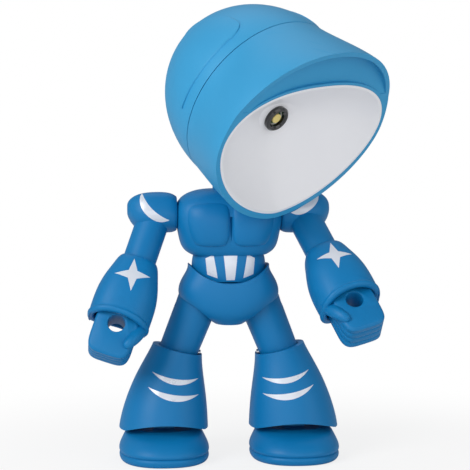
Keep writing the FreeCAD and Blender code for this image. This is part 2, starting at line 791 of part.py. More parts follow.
def make_waist():
    """Waist barrel with three light stripes, and the pivot that it turns on."""
    low = size("waist_bottom")
    barrel = loft(waist_rings(0.0))
    bed = loft(waist_rings(-size("inlay_depth")))
    middle = [(-4.0, 115.0), (4.0, 115.0), (2.3, 99.0), (-2.3, 99.0)]
    outer = [(9.2, 113.0), (13.5, 110.8), (12.6, 102.0), (7.0, 100.0)]
    mirrored = [(-x, z) for x, z in reversed(outer)]
    stripes = [inlay(barrel, bed, front_prism(shape)) for shape in (middle, outer, mirrored)]
    for stripe in stripes:
        barrel = barrel.cut(stripe)
    keep_shape(barrel, "waist_barrel")
    keep_shape(Part.makeCompound(stripes), "waist_stripes")
    radius = size("waist_pin_radius")
    turned_body("waist_pivot", [
        (0.0, 0.0), (radius, 0.0), (radius, -4.5), (radius - 0.6, -5.0), (0.0, -5.0),
    ], moved(0, 0, low))


def leg_axis(side):
    """Hip, knee and unit vector along the thigh."""
    hip = Vector(side * size("hip_x"), 0, size("hip_z"))
    knee = Vector(side * size("knee_x"), 0, size("knee_z"))
    along = knee.sub(hip)
    along.normalize()
    return hip, knee, along


def thigh_form(side, grow=0.0, swing=0.0):
    """Thigh as two round ends and a taper between them, grown by a clearance and swung at the hip."""
    hip, knee, along = leg_axis(side)
    upper = size("hip_radius") + grow
    lower = size("knee_radius") + grow
    length = knee.sub(hip).Length
    form = Part.makeSphere(upper, hip)
    form = form.fuse(Part.makeSphere(lower, knee))
    form = form.fuse(Part.makeCone(upper, lower, length, hip, along))
    if swing:
        form.rotate(hip, X_AXIS, swing)
    return form


def thigh_room(side):
    """Everything that the thigh sweeps through as the hip swings."""
    hip, knee, along = leg_axis(side)
    grow = size("shell_gap")
    slope = (size("knee_x") - size("hip_x")) / (size("hip_z") - size("knee_z"))
    half_width = (size("hip_radius") + grow) * math.sqrt(1 + slope * slope)
    drop = 45.0
    section = straight_face([
        (hip.x - half_width, 0, hip.z),
        (hip.x + half_width, 0, hip.z),
        (hip.x + side * slope * drop + half_width, 0, hip.z - drop),
        (hip.x + side * slope * drop - half_width, 0, hip.z - drop),
    ])
    section.rotate(hip, X_AXIS, size("hip_back"))
    sweep = section.revolve(hip, X_AXIS, -(size("hip_back") + size("hip_forward")))
    ends = [thigh_form(side, grow, size("hip_back")), thigh_form(side, grow, -size("hip_forward"))]
    return [sweep] + ends


def make_pelvis():
    """Hip moulding in two halves with a curved belt, a basin for the waist and room for both thighs."""
    width = size("pelvis_half_width")
    depth = size("pelvis_half_depth")
    low = size("pelvis_bottom")
    top = size("pelvis_top")
    form = loft([
        (0, 0, low, width - 19.4, depth - 7.0, 2.2, 0.0),
        (0, 0, low + 4.0, width - 11.5, depth - 3.0, 2.4, 0.0),
        (0, 0, low + 9.5, width - 3.5, depth - 0.6, 2.6, 0.0),
        (0, 0, low + 16.0, width, depth, 2.8, 0.0),
        (0, 0, low + 24.0, width - 1.6, depth - 0.5, 2.8, 0.0),
        (0, 0, top, width - 5.0, depth - 2.0, 2.8, 0.0),
    ])
    belt_half = 20.0
    rise = top - size("belt_low") - 1.5
    radius = (belt_half ** 2 + rise ** 2) / (2 * rise)
    form = form.cut(rod(radius, (0, -60, size("belt_low") + radius), (0, 1, 0), 120))
    gap = size("shell_gap")
    basin = [
        (x, y, z - (gap if number == 0 else 0), half_x + 2 * gap, half_y + 4 * gap, fullness, keel)
        for number, (x, y, z, half_x, half_y, fullness, keel) in enumerate(waist_rings())
    ]
    form = form.cut(loft(basin))
    pivot_bore = size("waist_pin_radius") + size("running_clearance")
    form = form.cut(rod(pivot_bore, (0, 0, size("waist_bottom") - 5.5), (0, 0, 1), 10))
    for _, side in SIDES:
        form = form.cut(thigh_room(side))
    form = form.cut(rod(size("hip_pin_radius"), (-40, 0, size("hip_z")), (1, 0, 0), 80))
    front = half(form, True)
    back = half(form, False)
    keep_shape(max(front.Solids, key=lambda solid: solid.Volume), "pelvis_front")
    keep_shape(max(back.Solids, key=lambda solid: solid.Volume), "pelvis_back")
    axle = moved(0, 0, size("hip_z"), Y_AXIS, 90)
    pin("hip_axle", "Sizes.hip_pin_radius", "2 * Sizes.hip_x + 6", axle)


# Legs

def boot_rings(side, inset=0.0):
    """Cross-sections of the boot: a wide bell that narrows to the cuff."""
    half_width = size("boot_half_width")
    half_depth = size("boot_half_depth")
    low = size("boot_bottom")
    cuff = size("cuff_radius")
    foot_x = size("boot_x")
    rise = size("knee_z") + 9.0 - low
    shares = (
        (0.0, 1.0, 1.0, 0.0),
        (0.13, 0.93, 0.87, 0.06),
        (0.32, 0.76, 0.68, 0.20),
        (0.55, 0.47, 0.40, 0.42),
        (0.87, 0.03, 0.02, 0.93),
        (1.0, -0.05, -0.05, 1.18),
    )
    rings = []
    for height, wide, deep, shift in shares:
        rings.append((
            side * (foot_x + (size("knee_x") - foot_x) * shift), 0, low + height * rise,
            cuff + (half_width - cuff) * wide - inset,
            cuff + (half_depth - cuff) * deep - inset,
            2.25, 1.2,
        ))
    return rings


def stripe(left, low, right, thickness, side):
    """Curved stripe with pointed ends, from an outline in the X-Z plane."""
    mirrored = [Vector(side * x, 0, z) for x, z in (left, low, right)]
    raised = Vector(mirrored[1].x, 0, mirrored[1].z + thickness)
    under = Part.Arc(mirrored[0], mirrored[1], mirrored[2]).toShape()
    over = Part.Arc(mirrored[2], raised, mirrored[0]).toShape()
    return Part.Face(Part.Wire([under, over])).extrude(Vector(0, -60, 0))


def make_leg(name, side):
    """Thigh, boot with two light stripes, foot and sole, with the pins between them."""
    gap = size("shell_gap")
    hip, knee, along = leg_axis(side)
    clearance = size("running_clearance")
    hip_bore = rod(size("hip_pin_radius") + clearance, (-60, 0, hip.z), (1, 0, 0), 120)
    knee_bore = rod(size("knee_pin_radius") + clearance, (-80, 0, knee.z), (1, 0, 0), 160)
    keep_shape(thigh_form(side).cut(hip_bore).cut(knee_bore), name + "_thigh")

    form = loft(boot_rings(side))
    cuff_lean = side * 14.0
    lid = Part.makeBox(120, 120, 60, Vector(-60, -60, 0))
    lid.Placement = moved(knee.x, 0, knee.z + 2.6, Y_AXIS, -cuff_lean)
    form = form.cut(lid)
    foot_x = side * size("boot_x")
    arch = 57.0
    form = form.cut(rod(arch, (foot_x, -60, size("boot_bottom") + gap * 11 - arch), (0, 1, 0), 120))
    socket = Part.makeSphere(size("knee_radius") + gap, knee)
    flare = Part.makeCone(size("knee_radius") + gap, size("knee_radius") + 5.0, 12.0,
                          knee, along.negative())
    bell = [ring for ring in boot_rings(side, size("wall"))[:3]]
    bell[0] = bell[0][:2] + (bell[0][2] - 0.01,) + bell[0][3:]
    hollow = loft(bell)
    cheeks = []
    for turn in (-1, 1):
        inner_x = foot_x + (6.0 if turn > 0 else -9.0)
        cheeks.append(Part.makeBox(3.0, 14.0, 30.0, Vector(inner_x, -7.0, size("ankle_z") - 4.0)))
    hollow = hollow.cut(cheeks)
    form = form.cut([socket, flare, hollow])
    ankle_bore = rod(size("ankle_pin_radius"), (foot_x - 9.5, 0, size("ankle_z")), (1, 0, 0), 19.0)
    knee_pin_bore = rod(size("knee_pin_radius"), (-80, 0, knee.z), (1, 0, 0), 160)
    reach = size("cuff_radius") - 1.0
    knee_pin_bore = knee_pin_bore.common(Part.makeBox(2 * reach, 20, 20,
                                                      Vector(knee.x - reach, -10, knee.z - 10)))
    form = form.cut([ankle_bore, knee_pin_bore])
    bed = loft(boot_rings(side, size("inlay_depth")))
    stripes = [
        inlay(form, bed, stripe((17.4, 45.2), (26.5, 42.7), (42.8, 49.5), 2.7, side)),
        inlay(form, bed, stripe((17.4, 36.7), (26.4, 34.1), (45.3, 41.6), 2.9, side)),
    ]
    for piece in stripes:
        form = form.cut(piece)
    keep_shape(max(form.Solids, key=lambda solid: solid.Volume), name + "_boot")
    keep_shape(Part.makeCompound(stripes), name + "_boot_stripes")
    knee_frame = moved(knee.x, 0, knee.z, Y_AXIS, 90)
    pin(name + "_knee_pin", "Sizes.knee_pin_radius", "2 * Sizes.cuff_radius - 2.2", knee_frame)
    ankle_frame = moved(foot_x, 0, size("ankle_z"), Y_AXIS, 90)
    pin(name + "_ankle_pin", "Sizes.ankle_pin_radius", "18", ankle_frame)

    half_width = size("foot_half_width")
    toe = size("foot_toe")
    heel = size("foot_heel")
    half_length = (toe + heel) / 2
    middle = (heel - toe) / 2
    sole_top = size("sole_height")
    top = size("foot_top")
    foot = loft([
        (foot_x, middle, sole_top, half_width - 0.5, half_length - 0.5, 2.3, 0.0),
        (foot_x, middle, sole_top + 0.5, half_width, half_length, 2.3, 0.0),
        (foot_x, middle + 0.6, sole_top + 5.5, half_width - 0.7, half_length - 1.6, 2.3, 0.0),
        (foot_x, middle + 2.2, top - 3.0, half_width - 2.8, half_length - 7.0, 2.3, 0.0),
        (foot_x, middle + 4.0, top - 0.5, half_width - 7.5, half_length - 13.0, 2.2, 0.0),
    ])
    lug_half = 6.0 - gap
    lug = Part.makeBox(2 * lug_half, 10.0, size("ankle_z") - sole_top - 4.0,
                       Vector(foot_x - lug_half, -5.0, sole_top + 4.0))
    eye = rod(5.0, (foot_x - lug_half, 0, size("ankle_z")), (1, 0, 0), 2 * lug_half)
    foot = foot.fuse([lug, eye]).removeSplitter()
    foot = foot.cut(rod(size("ankle_pin_radius") + clearance, (foot_x - 20, 0, size("ankle_z")),
                        (1, 0, 0), 40))
    keep_shape(foot, name + "_foot")
    sole = loft([
        (foot_x, middle, 0.0, half_width - 1.2, half_length - 1.2, 2.3, 0.0),
        (foot_x, middle, 1.0, half_width - 0.2, half_length - 0.2, 2.3, 0.0),
        (foot_x, middle, sole_top - 0.6, half_width, half_length, 2.3, 0.0),
        (foot_x, middle, sole_top, half_width - 0.6, half_length - 0.6, 2.3, 0.0),
    ])
    keep_shape(sole, name + "_sole")


# Arms

def glove_rings(inset=0.0):
    """Cross-sections of the glove from its rim up to the elbow, along the arm."""
    width = size("glove_half_width")
    depth = size("glove_half_depth")
    top = size("glove_top")
    rim = size("glove_bottom")
    span = rim - top
    collar = size("arm_radius") + 1.2
    shares = (
        (1.0, 0.90, 0.88),
        (0.92, 0.97, 0.95),
        (0.78, 1.0, 1.0),
        (0.55, 0.95, 0.97),
        (0.34, 0.72, 0.80),
        (0.15, 0.38, 0.48),
        (0.03, 0.12, 0.18),
        (0.0, 0.0, 0.0),
    )
    return [
        (0, 0, -(top + share * span),
         collar + (width - collar) * wide - inset,
         collar + (depth - collar) * deep - inset, 2.5, 0.0)
        for share, wide, deep in shares
    ]


def star_prism(side):
    """Four-pointed star on the back of the glove."""
    points = []
    for corner in range(8):
        angle = math.radians(45 * corner + side * size("star_turn"))
        radius = size("star_long") if corner % 2 == 0 else size("star_short")
        points.append((radius * math.sin(angle), radius * math.cos(angle) - size("star_reach")))
    return front_prism(points)


def crescent_prism(side):
    """Crescent on the front of the shoulder, hollow side outward and up."""
    tip_high = Vector(side * 8.0, 0, 8.0)
    tip_low = Vector(side * -6.5, 0, -8.5)
    belly = Vector(side * 7.2, 0, -4.6)
    hollow = Vector(side * 3.6, 0, -2.2)
    arc_out = Part.Arc(tip_high, belly, tip_low).toShape()
    arc_in = Part.Arc(tip_low, hollow, tip_high).toShape()
    return Part.Face(Part.Wire([arc_out, arc_in])).extrude(Vector(0, -60, 0))


def shoulder_rings(side, inset=0.0):
    """Cross-sections of the shoulder, from its flat inner face to its tip."""
    out = size("shoulder_out")
    high = size("shoulder_half_height")
    deep = size("shoulder_half_depth")
    inner = size("chest_half_width") + 0.3 - size("shoulder_x")
    shares = (
        (inner, 0.82, 0.84, -1.5),
        (inner + 2.5, 0.94, 0.95, -1.2),
        (0.0, 1.0, 1.0, -0.8),
        (0.45 * out, 0.95, 0.95, -0.8),
        (0.78 * out, 0.72, 0.72, 0.0),
        (out, 0.25, 0.25, 1.2),
    )
    return [
        (-side * lift, 0, reach, high * tall - inset, deep * wide - inset, 2.4, 0.0)
        for reach, tall, wide, lift in shares
    ]


def make_arm(name, side):
    """Shoulder, upper arm, glove with its star and fist with the grip bore."""
    clearance = size("running_clearance")
    swing = moved(side * size("shoulder_x"), 0, size("shoulder_z"), X_AXIS,
                  -size(name + "_arm_swing"))
    arm_frame = swing.multiply(turned(Y_AXIS, -side * size("arm_spread")))
    outward = turned(Y_AXIS, side * 90).toMatrix()
    cap = loft(shoulder_rings(side)).transformGeometry(outward)
    bed = loft(shoulder_rings(side, size("inlay_depth"))).transformGeometry(outward)
    crescent = inlay(cap, bed, crescent_prism(side))
    spread = turned(Y_AXIS, -side * size("arm_spread")).toMatrix()
    end = -size("elbow_reach")
    bar = rod(size("arm_radius"), (0, 0, end), (0, 0, 1), -end - 4.0)
    bar = bar.cut(rod(size("arm_pin_radius") + clearance, (0, 0, end - 1), (0, 0, 1), 9.0))
    bar = bar.transformGeometry(spread)
    shoulder_pin = rod(size("shoulder_pin_radius"), (-side * 14.6, 0, 0), (side, 0, 0), 18.6)
    shoulder_head = rod(4.2, (-side * 15.1, 0, 0), (side, 0, 0), 1.6)
    shoulder_pin = shoulder_pin.fuse(shoulder_head).removeSplitter()
    bar = bar.cut(cap)
    cap = cap.cut([crescent, shoulder_pin])
    keep_shape(cap, name + "_shoulder", swing)
    keep_shape(crescent, name + "_crescent", swing)
    keep_shape(shoulder_pin, name + "_shoulder_pin", swing)
    keep_shape(max(bar.Solids, key=lambda solid: solid.Volume), name + "_upper_arm", swing)

    glove = loft(glove_rings())
    star = inlay(glove, loft(glove_rings(size("inlay_depth"))), star_prism(side))
    web_low = end - size("glove_floor")
    hollow = loft(shrunk(glove_rings()[:4], size("wall"), -0.01, 0.0))
    hollow = hollow.cut(Part.makeBox(100, 100, 100, Vector(-50, -50, web_low)))
    boss = rod(size("wrist_radius") + 2.2, (0, 0, web_low - 5.0), (0, 0, 1), 6.0)
    hollow = hollow.cut(boss)
    arch = 17.0
    rim_level = -size("glove_bottom") + size("rim_arch")
    rim = rod(arch, (0, -60, rim_level - arch), (0, 1, 0), 120)
    glove = glove.cut([
        hollow,
        rim,
        star,
        rod(size("arm_radius") + clearance, (0, 0, end - clearance), (0, 0, 1), 80),
        rod(size("arm_pin_radius"), (0, 0, end - 12), (0, 0, 1), 30),
        rod(size("wrist_radius") + clearance, (0, 0, -80), (0, 0, 1), 80 + web_low),
    ])
    keep_shape(max(glove.Solids, key=lambda solid: solid.Volume), name + "_glove", arm_frame)
    keep_shape(star, name + "_star", arm_frame)
    pin_frame = arm_frame.multiply(moved(0, 0, end - 1.5))
    pin(name + "_arm_pin", "Sizes.arm_pin_radius", "17", pin_frame)

    width = size("fist_half_width")
    depth = size("fist_half_depth")
    grip = size("grip_reach")
    low = size("fist_bottom")
    fist = loft([
        (0, 0, -low, width * 0.62, depth * 0.68, 2.6, 0.0),
        (0, 0, -low + 2.0, width * 0.84, depth * 0.92, 2.8, 0.0),
        (0, 0, -low + 8.0, width * 0.98, depth * 1.14, 2.8, 0.0),
        (0, 0, -grip, width, depth * 1.2, 2.8, 0.0),
        (0, 0, -grip + 7.0, width * 0.9, depth * 1.06, 2.6, 0.0),
        (0, 0, -grip + 11.5, width * 0.66, depth * 0.82, 2.4, 0.0),
    ])
    fist = fist.common(Part.makeBox(100, 2 * depth, 200, Vector(-50, -depth, -150)))
    stub = rod(size("wrist_radius"), (0, 0, -grip + 8.0), (0, 0, 1), grip - 8.0 + web_low - gap_under_web())
    fist = fist.fuse(stub).removeSplitter()
    fist = fist.cut([
        rod(size("grip_radius"), (0, -50, -grip), (0, 1, 0), 100),
        rod(size("arm_pin_radius") + clearance, (0, 0, end - 12.5), (0, 0, 1), 30),
    ])
    keep_shape(fist, name + "_fist", arm_frame)


def gap_under_web():
    """Play between the fist's stub and the glove's web."""
    return size("shell_gap") / 2


# Build, centre on the floor and write

make_rear_shell()
make_front_shell()
make_reflector()
make_lamp()
stem_foot = make_neck()
make_torso(stem_foot)
make_waist()
make_pelvis()
for side_name, side_sign in SIDES:
    make_leg(side_name, side_sign)
    make_arm(side_name, side_sign)
document.recompute()

bounds = FreeCAD.BoundBox()
for piece in pieces.values():
    bounds.add(piece.Shape.optimalBoundingBox(False, False))
centring = Vector(-bounds.Center.x, -bounds.Center.y, -bounds.ZMin)
for piece in pieces.values():
    place = piece.Placement
    place.Base = place.Base.add(centring)
    piece.Placement = place
document.recompute()

for feature in document.Objects:
    if "Invalid" in feature.State or "Error" in feature.State:
        raise RuntimeError("%s failed: %s" % (feature.Label, feature.State))
for node, piece in pieces.items():
    if piece.Shape.isNull() or not piece.Shape.isValid() or not piece.Shape.Solids:
        raise RuntimeError("%s has no valid solid" % node)

os.makedirs("parts", exist_ok=True)
for node, piece in pieces.items():
    piece.Shape.exportStep("parts/%s.step" % node)
print("nodes %d, box %.1f x %.1f x %.1f mm" % (
    len(pieces), bounds.XLength, bounds.YLength, bounds.ZLength))
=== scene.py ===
import json
import logging
import math
from collections.abc import Callable
from dataclasses import dataclass
from enum import Enum
from functools import partial

import bmesh
import bpy
from mathutils import Matrix, Vector


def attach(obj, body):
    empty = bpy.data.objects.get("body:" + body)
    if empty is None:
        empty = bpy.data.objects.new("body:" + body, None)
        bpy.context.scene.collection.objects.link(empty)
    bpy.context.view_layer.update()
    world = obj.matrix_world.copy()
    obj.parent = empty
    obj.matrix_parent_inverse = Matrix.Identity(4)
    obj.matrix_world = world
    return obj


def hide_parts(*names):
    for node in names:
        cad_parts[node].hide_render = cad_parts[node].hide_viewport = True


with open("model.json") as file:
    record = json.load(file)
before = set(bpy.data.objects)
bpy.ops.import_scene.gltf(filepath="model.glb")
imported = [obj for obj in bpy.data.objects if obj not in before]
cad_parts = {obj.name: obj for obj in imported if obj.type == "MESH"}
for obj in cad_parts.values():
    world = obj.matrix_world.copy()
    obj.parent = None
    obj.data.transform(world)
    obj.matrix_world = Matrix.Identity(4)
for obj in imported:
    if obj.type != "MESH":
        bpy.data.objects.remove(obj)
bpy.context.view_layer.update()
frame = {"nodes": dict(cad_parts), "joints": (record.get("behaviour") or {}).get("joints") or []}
log = logging.getLogger("lamp")

MILLIMETRE = 0.001
WAIST_HEIGHT = 0.098
LEFT_SWING = 41.2
RIGHT_SWING = 23.6

RGB = tuple[float, float, float]
Curve = tuple[tuple[float, float], ...]


def linear(red: int, green: int, blue: int) -> RGB:
    """Turns a colour as seen on a screen into scene values.

    Args:
        red: Red from 0 to 255.
        green: Green from 0 to 255.
        blue: Blue from 0 to 255.

    Returns:
        The three values on a linear scale.
    """
    return tuple(
        share / 12.92 if share <= 0.04045 else ((share + 0.055) / 1.055) ** 2.4
        for share in (red / 255, green / 255, blue / 255)
    )


def body_middle() -> Vector:
    """Finds the point on the floor under the robot's waist.

    Returns:
        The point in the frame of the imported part.
    """
    for joint in frame["joints"]:
        if joint["name"] == "waist_turn":
            place = joint["pos_m"]
            return Vector((place[0], place[1], place[2] - WAIST_HEIGHT))
    raise RuntimeError("the waist has no joint")


class Side(Enum):
    """The robot's own left and right, with the sign of X on each."""

    LEFT = 1
    RIGHT = -1

    @property
    def word(self) -> str:
        """The side's name as it stands in the names of nodes and bodies."""
        return self.name.lower()


def fill(node: bpy.types.Node, values: dict[str, float | tuple[float, ...]]) -> None:
    """Gives a shader node its fixed input values.

    Args:
        node: The node.
        values: The value of each input, by the input's name.
    """
    for name, value in values.items():
        node.inputs[name].default_value = value


class Nodes:
    """Node groups that more than one finish uses."""

    GRAIN = "moulded_grain"
    GRAIN_GIVEN = {
        "Grain Scale": 900.0,
        "Flow Scale": 22.0,
        "Low Roughness": 0.3,
        "High Roughness": 0.42,
        "Depth": 0.05,
    }
    FLOW_NOISE = {"Detail": 3.0, "Distortion": 0.6}
    FINE_NOISE = {"Detail": 4.0, "Roughness": 0.6}
    FINE_SHARE = 0.35
    ROUGH_SPAN = {"From Min": 0.45, "From Max": 0.95}
    BUMP_DISTANCE = 0.1 * MILLIMETRE
    WEAR = "handling_marks"
    WEAR_GIVEN = {"Scale": 60.0, "Stretch": 7.0}
    WEAR_TURN = (0.5, 0.9, 0.3)
    WEAR_NOISE = {"Detail": 6.0}
    WEAR_SPAN = {"From Min": 0.62, "From Max": 0.78}

    @staticmethod
    def start(name: str, given: dict[str, float]) -> bpy.types.NodeTree:
        """Starts a node group with the inputs that it is given.

        Args:
            name: The group's name.
            given: The usual value of each input, by the input's name.

        Returns:
            The group, still without nodes.
        """
        group = bpy.data.node_groups.new(name, "ShaderNodeTree")
        for label, value in given.items():
            socket = group.interface.new_socket(
                name=label, in_out="INPUT", socket_type="NodeSocketFloat"
            )
            socket.default_value = value
        return group

    @staticmethod
    def grain() -> bpy.types.NodeTree:
        """Builds the fine texture of moulded plastic once.

        Returns:
            A group that puts out a colour mask, a roughness and a normal.
        """
        if Nodes.GRAIN in bpy.data.node_groups:
            return bpy.data.node_groups[Nodes.GRAIN]
        group = Nodes.start(Nodes.GRAIN, Nodes.GRAIN_GIVEN)
        for label, kind in (("Flow", "Float"), ("Roughness", "Float"), ("Normal", "Vector")):
            group.interface.new_socket(
                name=label, in_out="OUTPUT", socket_type="NodeSocket" + kind
            )
        nodes, links = group.nodes, group.links
        given = nodes.new("NodeGroupInput")
        out = nodes.new("NodeGroupOutput")
        place = nodes.new("ShaderNodeTexCoord")
        flow = nodes.new("ShaderNodeTexNoise")
        fill(flow, Nodes.FLOW_NOISE)
        links.new(place.outputs["Object"], flow.inputs["Vector"])
        links.new(given.outputs["Flow Scale"], flow.inputs["Scale"])
        fine = nodes.new("ShaderNodeTexNoise")
        fill(fine, Nodes.FINE_NOISE)
        links.new(place.outputs["Object"], fine.inputs["Vector"])
        links.new(given.outputs["Grain Scale"], fine.inputs["Scale"])
        blend = nodes.new("ShaderNodeMath")
        blend.operation = "MULTIPLY_ADD"
        blend.inputs[1].default_value = Nodes.FINE_SHARE
        links.new(fine.outputs["Fac"], blend.inputs[0])
        links.new(flow.outputs["Fac"], blend.inputs[2])
        rough = nodes.new("ShaderNodeMapRange")
        fill(rough, Nodes.ROUGH_SPAN)
        links.new(blend.outputs[0], rough.inputs["Value"])
        links.new(given.outputs["Low Roughness"], rough.inputs["To Min"])
        links.new(given.outputs["High Roughness"], rough.inputs["To Max"])
        bump = nodes.new("ShaderNodeBump")
        fill(bump, {"Distance": Nodes.BUMP_DISTANCE})
        links.new(given.outputs["Depth"], bump.inputs["Strength"])
        links.new(fine.outputs["Fac"], bump.inputs["Height"])
        links.new(flow.outputs["Fac"], out.inputs["Flow"])
        links.new(rough.outputs["Result"], out.inputs["Roughness"])
        links.new(bump.outputs["Normal"], out.inputs["Normal"])
        return group

    @staticmethod
    def wear() -> bpy.types.NodeTree:
        """Builds the faint rub marks of handling once.

        Returns:
            A group that puts out a mask of thin, soft scuffs.
        """
        if Nodes.WEAR in bpy.data.node_groups:
            return bpy.data.node_groups[Nodes.WEAR]
        group = Nodes.start(Nodes.WEAR, Nodes.WEAR_GIVEN)
        group.interface.new_socket(name="Mask", in_out="OUTPUT", socket_type="NodeSocketFloat")
        nodes, links = group.nodes, group.links
        given = nodes.new("NodeGroupInput")
        out = nodes.new("NodeGroupOutput")
        place = nodes.new("ShaderNodeTexCoord")
        turn = nodes.new("ShaderNodeMapping")
        fill(turn, {"Rotation": Nodes.WEAR_TURN})
        links.new(place.outputs["Object"], turn.inputs["Vector"])
        stretch = nodes.new("ShaderNodeCombineXYZ")
        fill(stretch, {"X": 1.0, "Z": 1.0})
        links.new(given.outputs["Stretch"], stretch.inputs["Y"])
        scale = nodes.new("ShaderNodeVectorMath")
        scale.operation = "MULTIPLY"
        links.new(turn.outputs["Vector"], scale.inputs[0])
        links.new(stretch.outputs["Vector"], scale.inputs[1])
        noise = nodes.new("ShaderNodeTexNoise")
        fill(noise, Nodes.WEAR_NOISE)
        links.new(scale.outputs["Vector"], noise.inputs["Vector"])
        links.new(given.outputs["Scale"], noise.inputs["Scale"])
        pick = nodes.new("ShaderNodeMapRange")
        fill(pick, Nodes.WEAR_SPAN)
        links.new(noise.outputs["Fac"], pick.inputs["Value"])
        links.new(pick.outputs["Result"], out.inputs["Mask"])
        return group


@dataclass(frozen=True)
class Finish:
    """A moulded, painted or metal surface of the lamp."""

    name: str
    colour: RGB
    deeper: RGB
    grain_scale: float = 900.0
    flow_scale: float = 22.0
    roughness: tuple[float, float] = (0.3, 0.42)
    depth: float = 0.05
    metallic: float = 0.0
    specular: float = 0.5
    coat: float = 0.0
    coat_roughness: float = 0.12
    scuffs: float = 0.15

    def material(self) -> bpy.types.Material:
        """Builds the node material of this finish.

        Returns:
            The material, the same one each time it is asked for.
        """
        if self.name in bpy.data.materials:
            return bpy.data.materials[self.name]
        material = bpy.data.materials.new(self.name)
        material.use_nodes = True
        nodes, links = material.node_tree.nodes, material.node_tree.links
        shader = nodes["Principled BSDF"]
        fill(shader, {
            "Metallic": self.metallic,
            "Specular IOR Level": self.specular,
            "Coat Weight": self.coat,
            "Coat Roughness": self.coat_roughness,
        })
        smooth, rough = self.roughness
        grain = nodes.new("ShaderNodeGroup")
        grain.node_tree = Nodes.grain()
        fill(grain, {
            "Grain Scale": self.grain_scale,
            "Flow Scale": self.flow_scale,
            "Low Roughness": smooth,
            "High Roughness": rough,
            "Depth": self.depth,
        })
        marks = nodes.new("ShaderNodeGroup")
        marks.node_tree = Nodes.wear()
        tone = nodes.new("ShaderNodeMix")
        tone.data_type = "RGBA"
        fill(tone, {"A": (*self.deeper, 1.0), "B": (*self.colour, 1.0)})
        links.new(grain.outputs["Flow"], tone.inputs["Factor"])
        share = nodes.new("ShaderNodeMath")
        share.operation = "MULTIPLY"
        share.inputs[1].default_value = self.scuffs
        links.new(marks.outputs["Mask"], share.inputs[0])
        rubbed = nodes.new("ShaderNodeMath")
        rubbed.operation = "ADD"
        links.new(grain.outputs["Roughness"], rubbed.inputs[0])
        links.new(share.outputs[0], rubbed.inputs[1])
        links.new(tone.outputs["Result"], shader.inputs["Base Color"])
        links.new(rubbed.outputs[0], shader.inputs["Roughness"])
        links.new(grain.outputs["Normal"], shader.inputs["Normal"])
        return material


BLUE_SHELL = Finish(
    "blue_shell", linear(4, 121, 180), linear(2, 110, 168), roughness=(0.42, 0.54), specular=0.3,
)
BLUE_HEAD = Finish(
    "blue_head", linear(58, 156, 206), linear(44, 146, 196), roughness=(0.42, 0.54), specular=0.35,
)
SILVER_INLAY = Finish(
    "silver_inlay", linear(226, 229, 236), linear(208, 213, 222), roughness=(0.26, 0.36),
    metallic=0.1,
)
WHITE_BOWL = Finish(
    "white_bowl", linear(243, 243, 245), linear(236, 236, 240), roughness=(0.28, 0.38), depth=0.03,
)
BLACK_BEZEL = Finish(
    "black_bezel", linear(22, 22, 24), linear(14, 14, 16), roughness=(0.12, 0.22), coat=0.6,
)
YELLOW_EMITTER = Finish(
    "yellow_emitter", linear(240, 224, 150), linear(226, 200, 104), grain_scale=2400.0,
    flow_scale=300.0, roughness=(0.35, 0.5), depth=0.3,
)
BRIGHT_STEEL = Finish(
    "bright_steel", linear(196, 198, 202), linear(170, 173, 178), grain_scale=1800.0,
    roughness=(0.2, 0.36), metallic=1.0,
)
MILLED_ALUMINIUM = Finish(
    "milled_aluminium", linear(205, 207, 210), linear(184, 187, 191), grain_scale=1400.0,
    roughness=(0.3, 0.48), metallic=1.0,
)
GREEN_BOARD = Finish(
    "green_board", linear(28, 96, 62), linear(20, 78, 50), grain_scale=2000.0, flow_scale=120.0,
    roughness=(0.35, 0.5),
)
GREY_INNER = Finish(
    "grey_inner", linear(92, 96, 102), linear(78, 82, 88), roughness=(0.4, 0.55),
)
CELL_WRAP = Finish(
    "cell_wrap", linear(150, 160, 176), linear(128, 138, 156), roughness=(0.3, 0.45),
)

SLOT_FINISHES = {
    "head_shell": BLUE_HEAD,
    "body_shell": BLUE_SHELL,
    "inlay": SILVER_INLAY,
    "reflector": WHITE_BOWL,
    "bezel": BLACK_BEZEL,
    "emitter": YELLOW_EMITTER,
    "steel": BRIGHT_STEEL,
    "aluminium": MILLED_ALUMINIUM,
    "board": GREEN_BOARD,
    "inner": GREY_INNER,
    "cell": CELL_WRAP,
}


class CarriedNodes:
    """The CAD nodes that are shown as they are, with finishes of their own."""

    def dress(self) -> None:
        """Gives each CAD node the finish of its material slot."""
        for name, node in frame["nodes"].items():
            finish = SLOT_FINISHES[self.slot(node)]
            material = finish.material()
            for place in node.material_slots:
                place.material = material
            log.info("node %s has finish %s", name, finish.name)

    @staticmethod
    def slot(node: bpy.types.Object) -> str:
        """Reads a node's slot from the material it came with.

        Args:
            node: The CAD node.

        Returns:
            The name of the record's material slot.
        """
        for place in node.material_slots:
            stem = place.material.name.split(".")[0]
            if stem in SLOT_FINISHES:
                return stem
        raise RuntimeError(node.name + " has no known finish")


@dataclass(frozen=True)
class Ring:
    """One cross-section of a form that is grown by extrusion."""

    centre: Vector
    across: Vector
    along: Vector
    fullness: float = 2.0

    def point(self, number: int, count: int) -> Vector:
        """Finds a corner of the ring.

        Args:
            number: Which corner.
            count: How many corners the ring has.

        Returns:
            The corner's place.
        """
        angle = 2 * math.pi * number / count
        power = 2.0 / self.fullness
        wide = math.copysign(abs(math.cos(angle)) ** power, math.cos(angle))
        deep = math.copysign(abs(math.sin(angle)) ** power, math.sin(angle))
        return self.centre + self.across * wide + self.along * deep


